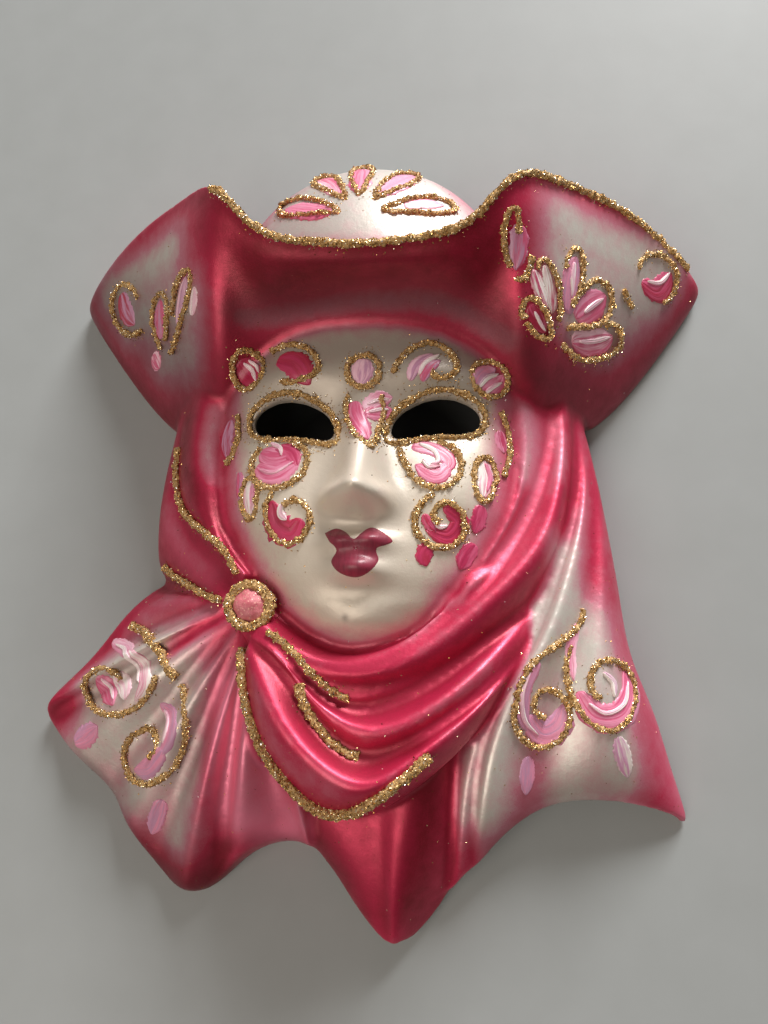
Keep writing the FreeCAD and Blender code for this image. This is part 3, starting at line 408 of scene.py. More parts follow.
def brooch_paint():
    """Matt salmon paint, mottled with a deeper one, that was dusted with glitter while it was wet."""
    material, tree = new_material("brooch_paint")
    sparkle = node(tree, "TexVoronoi", {"Vector": place(tree), "Scale": 1400.0})
    chosen = math_node(tree, "LESS_THAN", sparkle.outputs["Distance"], 0.28)
    color = mix_color(tree, varied(tree, noise_value(tree, 450.0), 0, 1),
                      color_of("d9838a"), color_of("b45560"))
    color = mix_color(tree, math_node(tree, "MULTIPLY", chosen, 0.35), color, color_of("ffe3c8"))
    normal = bump(tree, noise_value(tree, 1100.0), 0.00025)
    surface(tree, principled(tree, color, 0.55, math_node(tree, "MULTIPLY", chosen, 0.6), normal))
    return material


def bare_clay():
    material, tree = new_material("bare_clay")
    color = mix_color(tree, noise_value(tree, 420.0), BISQUE, BISQUE * 0.78)
    normal = bump(tree, noise_value(tree, 1500.0), 0.0001)
    surface(tree, principled(tree, color, 0.85, 0.0, normal))
    return material


def steel_wire():
    material, tree = new_material("steel_wire")
    stain = remap(tree, noise_value(tree, 600.0), 0.35, 0.7, 0.0, 1.0)
    color = mix_color(tree, stain, color_of("b9b9b6"), color_of("86807a"))
    surface(tree, principled(tree, color, remap(tree, stain, 0, 1, 0.25, 0.5), 1.0))
    return material


# ---------------------------------------------------------------- the cast
# Lengths are in millimetres; a blur is a number of rounds of averaging over neighbouring points.
CAST_VOXEL = 0.62
CAST_SMOOTHING = 14
CAST_CRACK = 0.5
CAVITY_BLUR = 16
CAVITY_RANGE = 0.5
CREASE_BLUR = 30
CREASE_START = 0.62
PASS_POINTS = 12
PASS_FALL_OFF = 0.8
SPRAY_BLUR = 16
OVERSPRAY_REACH = 5
# A small dark spot on the chin: its middle (x, z) in millimetres and its spread.
DARK_SPOT_X, DARK_SPOT_Z, DARK_SPOT_SPREAD = -3.2, -153.5, 0.9

# How much crimson each part of the cast gets first: 0 is bare silver, 0.7 crimson, 1 deep crimson.
BASE_SPRAY = {"tricorn_brim": 0.86, "hat_crown": 0.04, "face_shell": 0.0, "hood_left": 0.76,
              "chin_wrap": 0.74, "shoulder_drape": 0.74, "collar_folds": 0.76, "drape_tail": 0.74,
              "pleated_fan": 0.66}

# Airbrush passes: (parts, spray to reach, strength, radius, (x, z) line).
PASSES = [
    # Hat: deep crimson in the dip of the brim, its depth partly painted shade under the brim's edge, with
    # a pale and a crimson line before it, silver middles and crimson outer edges on its two wings; pink
    # sides and foot on the crown.
    (BRIM, 1.00, 0.95, 9, [(-30, -60), (0, -62), (32, -60)]),
    (BRIM, 0.30, 0.8, 3, [(-34, -69), (0, -66.5), (24, -67), (40, -76)]),
    (BRIM, 0.80, 0.9, 2, [(-36, -77), (-20, -72.5), (0, -71), (20, -72.5), (36, -78)]),
    (BRIM, 0.06, 1.0, 8, [(-88, -43), (-74, -43), (-60, -44)]),
    (BRIM, 0.08, 1.0, 9, [(-80, -54), (-64, -58), (-54, -62)]),
    (BRIM, 0.12, 0.9, 7, [(-66, -70), (-54, -74)]),
    (BRIM, 0.05, 1.0, 9, [(58, -44), (74, -42), (90, -41)]),
    (BRIM, 0.06, 1.0, 10, [(58, -56), (72, -56), (84, -50)]),
    (BRIM, 0.10, 0.9, 7, [(60, -68), (68, -68), (74, -60)]),
    (BRIM, 0.95, 0.8, 4, [(-103, -40), (-96, -52), (-82, -72), (-68, -88)]),
    (BRIM, 0.90, 0.8, 4, [(106, -40), (99, -52), (85, -72), (70, -86)]),
    (BRIM, 0.68, 0.8, 3, [(40, -42), (44, -52), (44, -64), (50, -78)]),
    (CROWN, 0.50, 0.9, 7, [(-46, -34), (-40, -20), (-32, -9)]),
    (CROWN, 0.45, 0.9, 7, [(41, -34), (36, -20), (28, -9)]),
    (CROWN, 0.66, 0.9, 4, [(-40, -38), (-22, -43), (0, -45), (22, -43), (38, -38)]),
    # Face: crimson creeps in from the whole rim.
    (FACE, 0.90, 0.95, 5, [(-42, -79), (-30, -69), (0, -65), (30, -69), (42, -79)]),
    (FACE, 0.62, 0.9, 5, [(-42, -84), (-42.5, -100), (-41, -116), (-36, -133), (-26, -148)]),
    (FACE, 0.62, 0.9, 6, [(43, -84), (42.5, -100), (41, -116), (36, -133), (27, -147)]),
    (FACE, 0.58, 0.9, 3.5, [(-26, -148), (-14, -158), (0, -162), (14, -158), (26, -148)]),
    # Hood: a pale streak beside the face, deep crimson beyond it and softer crimson below.
    (HOOD, 0.20, 0.8, 3.0, [(-45, -90), (-47, -103), (-45, -112)]),
    (HOOD, 0.98, 0.9, 4, [(-56, -90), (-56, -104), (-50, -115), (-42, -126)]),
    (HOOD, 0.60, 0.8, 4, [(-62, -116), (-56, -127), (-46, -137)]),
    (HOOD, 0.95, 0.8, 3, [(-66, -134), (-56, -140), (-44, -146)]),
    # Wrap: pale and pink streaks down from beside the cheek, the pink one on the ridge a painted
    # highlight, crimson below them.
    (WRAP, 0.22, 0.85, 3, [(45, -86), (47, -100), (46, -112)]),
    (WRAP, 0.30, 0.7, 2.2, [(54, -92), (55, -106), (52, -116)]),
    (WRAP, 0.55, 0.8, 4, [(46, -124), (34, -142), (16, -158)]),
    (WRAP, 0.84, 0.8, 4, [(56, -116), (50, -136), (34, -156), (14, -170), (-4, -174)]),
    # Shoulder: a silver band that widens to the hem, between crimson edges.
    (SHOULDER, 0.60, 0.8, 3, [(62, -96), (63, -116), (60, -132)]),
    (SHOULDER, 0.25, 0.8, 3, [(60, -120), (57, -134)]),
    (SHOULDER + WRAP, 0.08, 1.0, 4.5, [(56, -132), (54, -145), (48, -158)]),
    (SHOULDER, 0.06, 1.0, 8, [(48, -152), (44, -168), (38, -184), (33, -202)]),
    (SHOULDER, 0.05, 1.0, 9, [(56, -150), (56, -168), (56, -184), (56, -198)]),
    (SHOULDER, 0.06, 1.0, 8, [(62, -156), (66, -172), (69, -192)]),
    (SHOULDER, 0.12, 0.9, 4, [(34, -166), (29, -182), (25, -200)]),
    (SHOULDER, 0.62, 0.95, 6, [(71, -125), (78, -158), (83, -180), (90, -206)]),
    (SHOULDER, 0.90, 0.9, 4, [(30, -164), (22, -184), (18, -206)]),
    # Fan: silver leaves with pink and crimson between them, crimson edge, tip and lobe, and a pink
    # inner panel.
    (FAN, 0.06, 1.0, 10, [(-84, -173), (-72, -166), (-60, -160)]),
    (FAN, 0.06, 1.0, 11, [(-80, -188), (-66, -181), (-54, -168)]),
    (FAN, 0.08, 1.0, 9, [(-70, -203), (-58, -193), (-49, -176)]),
    (FAN, 0.10, 1.0, 5.5, [(-54, -212), (-49, -194), (-44, -172)]),
    (FAN, 0.66, 0.85, 2.2, [(-66, -148), (-54, -148), (-44, -147.5)]),
    (FAN, 0.15, 0.85, 1.8, [(-58, -155), (-50, -151.5), (-42, -149.5)]),
    (FAN, 0.74, 0.85, 2.0, [(-54, -161), (-47, -155), (-41, -151.5)]),
    (FAN, 0.80, 0.95, 4, [(-66, -138), (-80, -153), (-96, -172)]),
    (FAN, 0.85, 0.9, 6, [(-94, -175), (-100, -179)]),
    (FAN, 0.97, 0.9, 6, [(-74, -212), (-62, -222), (-50, -227), (-40, -221)]),
    (FAN, 0.85, 0.9, 2.2, [(-38, -164), (-40, -182), (-42, -204)]),
    (FAN, 0.46, 1.0, 7, [(-35, -166), (-34, -186), (-33, -206)]),
    (FAN, 0.50, 1.0, 8, [(-27, -180), (-25, -194), (-19, -205)]),
    (FAN, 0.95, 0.9, 2.5, [(-40, -214), (-30, -211), (-18, -211)]),
    # Folds at the throat, and the tail below them: lighter ridges and deep valleys, painted highlight on
    # the ridges and painted shade in the valleys.
    (COLLAR, 0.58, 0.8, 3, [(-22, -165), (-12, -180), (2, -186), (18, -182), (34, -166)]),
    (COLLAR, 0.56, 0.8, 3, [(-28, -170), (-20, -188), (-6, -196)]),
    (COLLAR, 0.95, 0.8, 2.5, [(-26, -164), (-16, -176), (0, -188), (16, -185)]),
    (TAIL, 0.62, 0.7, 2.5, [(5, -204), (7, -226)]),
    (TAIL, 1.0, 0.9, 5, [(18, -190), (17, -208), (12, -228)]),
    (TAIL, 0.92, 0.8, 3, [(-22, -196), (-12, -212), (0, -230)]),
]

# Painted shade: passes of a thin smoky glaze over the paint where shade falls, on the foot of the brim and
# its wings, the forehead, the crown and the lower drapes; in the same form, and they start from none at
# all.
PAINTED_SHADE_PASSES = [
    (BRIM, 0.72, 0.95, 4.0, [(-36, -68), (-22, -66), (0, -65.5), (24, -66), (40, -74), (50, -84)]),
    (BRIM, 0.62, 0.95, 14, [(-94, -44), (-76, -58), (-56, -78)]),
    (BRIM, 0.44, 0.9, 12, [(94, -54), (78, -68), (58, -82)]),
    (CROWN, 0.16, 1.0, 30, [(-20, -20), (20, -20)]),
    (FACE, 0.60, 0.95, 11, [(-38, -82), (-18, -78), (0, -78), (18, -78), (36, -83)]),
    (FACE, 0.38, 0.9, 8, [(-38, -96), (-20, -90), (0, -92), (20, -88)]),
    (FAN, 0.60, 0.95, 9, [(-84, -198), (-68, -214), (-52, -224)]),
    (FAN, 0.30, 0.9, 4.5, [(-51, -212), (-48, -190), (-43, -166)]),
    (SHOULDER, 0.30, 0.9, 5, [(34, -212), (48, -202), (66, -198)]),
    (TAIL, 0.25, 0.9, 5, [(-20, -200), (-8, -220)]),
]

# Painted highlights: passes of light rose pearl on the folds that catch most light.
PAINTED_HIGHLIGHT_PASSES = [
    (FAN, 0.80, 1.0, 5.0, [(-36, -172), (-35, -188), (-36, -202), (-32, -206), (-20, -207)]),
    (FAN, 0.55, 1.0, 4.0, [(-28, -178), (-26, -192), (-24, -204)]),
    (WRAP, 0.30, 0.9, 3.5, [(48, -96), (47, -116), (38, -134)]),
    (SHOULDER, 0.25, 0.9, 4.0, [(76, -150), (82, -176), (88, -202)]),
    (HOOD, 0.25, 0.9, 3.0, [(-62, -122), (-54, -132), (-44, -140)]),
]


def airbrushed(start, passes, part, x, z):
    """The spray on every point after some passes over its part of the cast."""
    spray = start
    for parts, target, strength, radius, line in passes:
        chosen = np.isin(part, [CAST_NODES.index(name) for name in parts])
        off_line = distance_to_line(x, z, smooth_path(line, PASS_POINTS))
        reach = np.exp(-(off_line / radius) ** 2 * PASS_FALL_OFF)
        spray = np.where(chosen, spray + (target - spray) * strength * reach, spray)
    return spray


def nearest_part(points, cad_points, cad_faces, owners):
    """The number of the part whose surface is nearest to each point."""
    tree = BVHTree.FromPolygons(cad_points.tolist(), cad_faces.tolist())
    return np.array([owners[tree.find_nearest(Vector(point))[2]] for point in points])


def cavity_of(mesh, around, normals):
    """1 in the valleys between folds and 0 on their ridges, 0.5 where the cast is flat."""
    points = vertex_points(mesh)
    soft = around.smooth_rows(points, CAVITY_BLUR)
    height = np.einsum("ij,ij->i", soft - points, normals)
    return np.clip(0.5 + height / (CAVITY_RANGE * MM), 0, 1)


def fill_creases(mesh, around):
    """Rounds out the sharp valleys where two parts of the cast meet, as thick paint does."""
    points = vertex_points(mesh)
    soft = around.smooth_rows(points, CREASE_BLUR)
    crease = np.clip((cavity_of(mesh, around, vertex_normals(mesh)) - CREASE_START) * 4, 0, 1)
    crease = around.smooth(crease, 5)[:, None]
    set_points(mesh, points * (1 - crease) + soft * crease)


def cast_skin():
    """The cast as one skin without cracks, its neighbours, and the part that each point belongs to."""
    points, faces, owners = joined_arrays(CAST_NODES)
    cast = new_object("cast_shell", points, faces)
    remesh(cast, CAST_VOXEL, CAST_SMOOTHING, CAST_CRACK)
    mesh = cast.data
    around = Neighbours(mesh)
    inward = around.smooth_rows(vertex_normals(mesh), 10)
    inward /= -np.linalg.norm(inward, axis=1, keepdims=True)
    set_points(mesh, around.smooth_rows(vertex_points(mesh) + inward * CAST_CRACK * MM, 6))
    fill_creases(mesh, around)
    return cast, around, nearest_part(vertex_points(mesh), points, faces, owners)


def cast_shell():
    """The cast, with the amount of every paint, of the painted shade and of the painted highlight stored
    on its points.
    """
    cast, around, part = cast_skin()
    mesh = cast.data
    normals = vertex_normals(mesh)
    x, y, z = (vertex_points(mesh) / MM).T

    def sprayed(start, passes):
        return around.smooth(airbrushed(start, passes, part, x, z), SPRAY_BLUR)

    base = np.array([BASE_SPRAY[name] for name in CAST_NODES])[part]
    nothing = np.zeros(len(x))
    crimson = sprayed(base, PASSES)
    cavity = cavity_of(mesh, around, normals)
    # Crimson is deeper in the valleys and thinner on the ridges: partly paint that settles there, partly
    # painted shade in the folds.
    crimson = np.clip(crimson + (cavity - 0.5) * 0.30 * np.clip(crimson * 3, 0, 1), 0, 1)
    set_value(mesh, "crimson", crimson)
    set_value(mesh, "painted_shade", sprayed(nothing, PAINTED_SHADE_PASSES))
    set_value(mesh, "painted_highlight", sprayed(nothing, PAINTED_HIGHLIGHT_PASSES))
    # The cavity mask carries the painted shade in the valleys.
    set_value(mesh, "cavity", np.clip((cavity - 0.55) * 2, 0, 1))
    set_value(mesh, "pearl", around.smooth((part == CAST_NODES.index("face_shell")).astype(float), 4))
    # Faces that look back into the hollow stay bare; some crimson drifts in over their rims.
    set_value(mesh, "outside", around.smooth(np.clip((0.35 - normals[:, 1]) / 0.3, 0, 1), 3))
    set_value(mesh, "overspray", np.clip(1 + y / OVERSPRAY_REACH, 0, 1) * 0.35)
    # A small dark spot on the chin.
    dark_spot = np.exp(-((x - DARK_SPOT_X) ** 2 + (z - DARK_SPOT_Z) ** 2) / DARK_SPOT_SPREAD)
    set_value(mesh, "chin_dark_spot", dark_spot * 0.6)
    shade(cast, True)
    return cast


# ---------------------------------------------------------------- dropping things onto the cast
# Where a dropped point starts, in metres, well in front of the mask.
START_Y = -0.15


class Front:
    """The front of the cast, to drop points onto."""

    def __init__(self, cast):
        points, faces = vertex_points(cast.data), triangles(cast.data)
        self.tree = BVHTree.FromPolygons(points.tolist(), faces.tolist())

    def drop(self, x, z):
        """The point of the front at (x, z) in millimetres and its normal; None in an opening."""
        start = Vector((x * MM, START_Y, z * MM))
        point, normal, _, _ = self.tree.ray_cast(start, Vector((0, 1, 0)))
        return (point, normal) if point else (None, None)

    def under(self, point):
        """How deep a point lies inside the cast, in metres; below 0 it is in front of it."""
        near, normal, _, _ = self.tree.find_nearest(Vector(point))
        return (near - Vector(point)).dot(normal)


# ---------------------------------------------------------------- glitter
GLUE = color_of("b89460")
TINTS = np.array([color_of(code) for code in ("dfbb80", "c79a56", "f3dcaa", "a67c43", "fff2d2", "80582c",
                                              "ffffff", "e8c484")])
TINT_SHARE = [0.20, 0.18, 0.16, 0.14, 0.13, 0.07, 0.04, 0.08]
THICK_LINES = ["brim_edge_glitter", "hem_glitter", "fold_glitter", "hood_glitter", "collar_glitter",
               "brooch_ring"]
THIN_LINE_CUT = 0.16  # lines that aren't thick get this much slimmer than their CAD beads
RIDGE_VOXEL = 0.35
GLUE_LUMPS = 0.2
FLAKES_PER_MM2 = 4.6
FLAKE_SIZES = (0.17, 0.42)
FLAKE_SINK = 0.2  # flakes deeper inside the cast than this are left out
STRAYS_PER_MM2 = 0.02
STRAY_SIZES = (0.14, 0.30)

# Flakes that fell beside a line: (their share of the line's flakes, how far they spread).
USUAL_HALO = (0.12, 0.9)
HALO = {"left_eye_glitter": (0.45, 1.5), "right_eye_glitter": (0.45, 1.5), "forehead_glitter": (0.4, 1.3)}
OCTAHEDRON = np.array([(1, 0, 0), (0, 1, 0), (-1, 0, 0), (0, -1, 0), (0, 0, 1), (0, 0, -1)], float)
OCTAHEDRON_FACES = np.array([(0, 1, 4), (1, 2, 4), (2, 3, 4), (3, 0, 4),
                             (1, 0, 5), (2, 1, 5), (3, 2, 5), (0, 3, 5)])


def random_turns(count):
    """Random rotation matrices, from random unit quaternions."""
    q = rng.normal(size=(count, 4))
    q /= np.linalg.norm(q, axis=1, keepdims=True)
    w, x, y, z = q.T
    rows = [1 - 2 * (y * y + z * z), 2 * (x * y - z * w), 2 * (x * z + y * w),
            2 * (x * y + z * w), 1 - 2 * (x * x + z * z), 2 * (y * z - x * w),
            2 * (x * z - y * w), 2 * (y * z + x * w), 1 - 2 * (x * x + y * y)]
    return np.stack(rows, axis=1).reshape(-1, 3, 3)


def flakes_at(centres, small, large):
    """A small lopsided octahedron at every centre: points and faces."""
    count = len(centres)
    sizes = rng.uniform(small, large, (count, 1, 3)) * MM
    sizes[:, :, 2] *= 0.45
    corners = OCTAHEDRON * (1 + rng.uniform(-0.25, 0.25, (count, 6, 1)))
    corners = np.einsum("nij,nkj->nki", random_turns(count), corners * sizes)
    points = (corners + centres[:, None, :]).reshape(-1, 3)
    faces = (OCTAHEDRON_FACES[None] + 6 * np.arange(count)[:, None, None]).reshape(-1, 3)
    return points, faces


def scattered(mesh, per_square_mm):
    """Random places on a mesh, and the normals there."""
    points, faces = vertex_points(mesh), triangles(mesh)
    a, b, c = (points[faces[:, k]] for k in range(3))
    cross = np.cross(b - a, c - a)
    area = np.linalg.norm(cross, axis=1) / 2
    count = int(area.sum() / MM ** 2 * per_square_mm)
    pick = rng.choice(len(area), count, p=area / area.sum())
    u, v = rng.random((2, count))
    fold = u + v > 1
    u[fold], v[fold] = 1 - u[fold], 1 - v[fold]
    places = a[pick] + (b - a)[pick] * u[:, None] + (c - a)[pick] * v[:, None]
    return places, cross[pick] / (2 * area[pick][:, None] + 1e-15)


def tints(count):
    """A random flake colour for each of some flakes."""
    return TINTS[rng.choice(len(TINTS), count, p=TINT_SHARE)] * rng.uniform(0.75, 1.1, (count, 1))


def beside(centres, front, share, spread):
    """Places on the cast a little way off some of the given flakes."""
    chosen = centres[rng.random(len(centres)) < share]
    shifts = rng.normal(size=(len(chosen), 2)) * spread
    places = []
    for (x, _, z), (shift_x, shift_z) in zip(chosen / MM, shifts):
        point, _ = front.drop(x + shift_x, z + shift_z)
        if point is not None:
            places.append(tuple(point))
    return np.array(places).reshape(-1, 3)


def glue_ridge(name):
    """The lumpy ridge of glue along one of the CAD model's lines."""
    ridge = new_object(name + "_ridge", *cad_arrays(name))
    remesh(ridge, RIDGE_VOXEL, 1)
    mesh = ridge.data
    points = vertex_points(mesh)
    lumps = Neighbours(mesh).smooth(rng.normal(size=len(points)), 6)
    lumps *= GLUE_LUMPS * MM / lumps.std()
    cut = 0.0 if name in THICK_LINES else THIN_LINE_CUT * MM
    set_points(mesh, points + vertex_normals(mesh) * (lumps - cut)[:, None])
    return ridge


def glitter_line(name, front, material):
    """A ridge of glue with flakes standing out all over it, and some more beside it."""
    ridge = glue_ridge(name)
    centres, _ = scattered(ridge.data, FLAKES_PER_MM2)
    keep = np.array([front.under(centre) < FLAKE_SINK * MM for centre in centres])
    centres = centres[keep]
    share, spread = HALO.get(name, USUAL_HALO)
    centres = np.concatenate([centres, beside(centres, front, share, spread)])
    flake_points, flake_faces = flakes_at(centres, *FLAKE_SIZES)
    glue_points, glue_faces = vertex_points(ridge.data), triangles(ridge.data)
    bpy.data.objects.remove(ridge)
    line = new_object(name + "_line", np.concatenate([glue_points, flake_points]),
                      np.concatenate([glue_faces, flake_faces + len(glue_points)]))
    glue = GLUE * rng.uniform(0.7, 1.2, (len(glue_points), 1))
    set_color(line.data, "tint", np.concatenate([glue, np.repeat(tints(len(centres)), 6, axis=0)]))
    flake = np.concatenate([np.zeros(len(glue_points)), np.ones(len(flake_points))])
    set_value(line.data, "flake", flake)
    shade(line, False)
    put_on(line, material, "gold_glitter", name)


def stray_flakes(cast, material):
    """Single flakes that fell on the front while the lines were laid, most of them on the drapes."""
    places, normals = scattered(cast.data, STRAYS_PER_MM2)
    z = places[:, 2] / MM
    keep = (normals[:, 1] < -0.3) & (rng.random(len(places)) < np.where(z < -130, 1.0, 0.35))
    centres = places[keep]
    points, faces = flakes_at(centres, *STRAY_SIZES)
    flakes = new_object("stray_flakes", points, faces)
    set_color(flakes.data, "tint", np.repeat(tints(len(centres)), 6, axis=0))
    set_value(flakes.data, "flake", np.ones(len(points)))
    shade(flakes, False)
    put_on(flakes, material, "gold_glitter")


# ---------------------------------------------------------------- brushed petals and lips
PINK = color_of("e392b0")
ROSE = color_of("cf5a80")
MAGENTA = color_of("bb345f")
WINE = color_of("ab2747")
BLUSH = color_of("f0c3d4")
WHITE = color_of("f5eeea")
LILAC = color_of("c491b1")
LIP_RED = color_of("86293f")
LIP_SHADE = color_of("782238")

# Brush strokes: (width, paint, second paint, (x, z) line from the heel of the stroke to its tip).
STROKES = [
    # crown
    (8.0, PINK, ROSE, [(-11.5, -28.2), (-19, -26.6), (-28.5, -21.6)]),
    (7.5, ROSE, BLUSH, [(-10, -21), (-14, -14), (-19.5, -7.5)]),
    (8.0, PINK, ROSE, [(-4.0, -21), (-4, -13), (-4.6, -3.5)]),
    (8.5, PINK, LILAC, [(2.0, -22), (7.5, -16), (13.5, -8.5)]),
    (5.0, BLUSH, PINK, [(10, -27), (15.5, -24.8), (22.5, -23.6)]),
    # right wing
    (5.4, LILAC, ROSE, [(43.4, -50.5), (43, -55), (42.2, -61)]),
    (4.6, WHITE, MAGENTA, [(50.5, -57.5), (52.2, -62), (52.6, -68.5)]),
    (4.0, ROSE, WHITE, [(47.0, -60), (48.6, -64), (51.0, -68)]),
    (5.6, LILAC, PINK, [(57.4, -66.5), (58.4, -58), (60.2, -50.5)]),
    (7.5, ROSE, PINK, [(60.0, -66.5), (65, -61), (70, -56)]),
    (6.5, ROSE, BLUSH, [(59, -72.5), (65.5, -70), (73, -65.5)]),
    (5.6, WINE, ROSE, [(46.2, -68.2), (48.4, -71), (50.8, -73.6)]),
    (6.5, WINE, ROSE, [(82.0, -48.0), (88, -48.4), (93, -41.5)]),
    # left wing
    (5.0, ROSE, LILAC, [(-65.2, -65), (-65.6, -59.5), (-64.6, -54.6)]),
    (4.4, LILAC, BLUSH, [(-57, -65.5), (-54.6, -60), (-52.0, -55)]),
    (3.2, BLUSH, WHITE, [(-50.5, -66), (-49.3, -62.5), (-48.6, -59.5)]),
    (6.0, WINE, LILAC, [(-83.0, -44.6), (-81.5, -50.5), (-77.5, -56.2)]),
    (5.0, ROSE, BLUSH, [(-70.5, -67.0), (-67.8, -71.5)]),
    # brow
    (7.5, WINE, MAGENTA, [(-37.4, -78.5), (-34.4, -81.5), (-31.4, -85.2)]),
    (8.0, MAGENTA, WINE, [(-25.5, -79.5), (-19.6, -81.6), (-14.8, -88.4)]),
    (6.5, BLUSH, LILAC, [(0.6, -81.4), (0.0, -85.2), (-0.6, -89.4)]),
    (3.6, LILAC, BLUSH, [(13.0, -88), (15.0, -83.4), (19.6, -79.4)]),
    (3.2, LILAC, ROSE, [(16.4, -88), (18.2, -84.6), (21.6, -81.4)]),
    (4.5, LILAC, PINK, [(31.0, -87.4), (33.4, -83.2), (37.2, -80.8)]),
    (5.0, ROSE, PINK, [(32.4, -89.4), (36.4, -86.6), (39.4, -82.4)]),
    # between the eyes
    (5.2, PINK, BLUSH, [(0.8, -97.0), (4.2, -93.6), (8.4, -92.2)]),
    (5.2, PINK, ROSE, [(1.0, -98.4), (5.0, -97.0), (8.2, -95.4)]),
    (6.4, ROSE, PINK, [(-2.2, -93.8), (-1.6, -99), (2.4, -107.0)]),
    # left cheek
    (7.6, ROSE, PINK, [(-29.6, -106.0), (-24.4, -108.4), (-18.0, -107.6)]),
    (7.4, PINK, ROSE, [(-30.4, -110.4), (-24.2, -113.8), (-16.6, -110.0)]),
    (5.0, ROSE, MAGENTA, [(-25.0, -105.4), (-20.0, -107.6), (-17.4, -112.4)]),
    (8.2, WINE, MAGENTA, [(-15.6, -127.0), (-18.4, -131.2), (-23.0, -128.0), (-24.4, -121.4)]),
    # right cheek
    (5.0, PINK, ROSE, [(13.4, -106.8), (19.4, -107.2), (23.8, -110.8), (21.4, -115.2)]),
    (5.6, ROSE, PINK, [(23.8, -111.6), (20.4, -115.2), (14.6, -112.2)]),
    (5.6, WINE, MAGENTA, [(22.2, -123.8), (26.8, -127.2), (23.6, -131.8), (17.4, -130.2)]),
    (3.0, WINE, ROSE, [(17.2, -126.0), (18.4, -128.6), (20.4, -130.8)]),
    # temples
    (5.0, WHITE, PINK, [(32.8, -108.4), (34.2, -114), (33, -120.2)]),
    (3.6, PINK, MAGENTA, [(37.8, -98.6), (39.2, -105.5)]),
    (4.2, WINE, LILAC, [(-40.4, -93.5), (-41.8, -100), (-40.2, -106.6)]),
    (4.4, WHITE, PINK, [(-31.8, -114.2), (-31.8, -119.5), (-31.0, -125)]),
    # dabs on the cheeks
    (4.4, MAGENTA, ROSE, [(32.6, -122.0), (31.8, -126), (30.4, -130)]),
    (4.6, MAGENTA, WINE, [(18.8, -134.0), (17.2, -137), (17.8, -140)]),
    (4.8, MAGENTA, ROSE, [(30.8, -132.6), (28.4, -136), (26.4, -139.8)]),
    (3.0, ROSE, LILAC, [(-36, -110.8), (-35.4, -115), (-35.4, -119.4)]),
    # fan
    (4.6, PINK, BLUSH, [(-80.0, -156.6), (-73, -159.0), (-66.5, -162.6)]),
    (4.4, PINK, WHITE, [(-70.0, -160.2), (-64.2, -164.6), (-62.0, -170), (-65.4, -175.2)]),
    (6.4, ROSE, PINK, [(-80.4, -168.4), (-76.4, -171.2), (-72.8, -176)]),
    (5.6, WHITE, BLUSH, [(-74.6, -167.4), (-70.0, -170.2), (-68.4, -174.6)]),
    (4.6, PINK, LILAC, [(-58.4, -175.2), (-53.6, -179.4), (-54.0, -185.2), (-57.4, -190.4)]),
    (6.0, PINK, LILAC, [(-55.4, -187.4), (-60.4, -192.6), (-67.4, -193.8)]),
    (7.0, PINK, LILAC, [(-87.4, -186.6), (-82.8, -184.4), (-78.4, -181.6)]),
    (5.2, LILAC, PINK, [(-57.0, -201.4), (-59.2, -206), (-61.6, -211.4)]),
    # shoulder
    (4.8, LILAC, PINK, [(47.6, -162.6), (43.4, -170), (43.0, -177.6), (46.8, -182.6)]),
    (8.0, PINK, LILAC, [(44.6, -177.0), (48.4, -181.6), (53.0, -179.6), (54.4, -173.6)]),
    (3.2, PINK, BLUSH, [(58.8, -152.0), (56.6, -159.6), (57.2, -168)]),
    (8.0, PINK, ROSE, [(57.8, -170.4), (62.6, -177.0), (69.4, -176.6), (73.0, -170.4), (71.2, -163.8)]),
    (4.2, LILAC, PINK, [(44.6, -187.6), (44.2, -192.2), (43.8, -198)]),
    (5.0, LILAC, SILVER, [(68.4, -182.0), (69.8, -187), (71.4, -193)]),
]

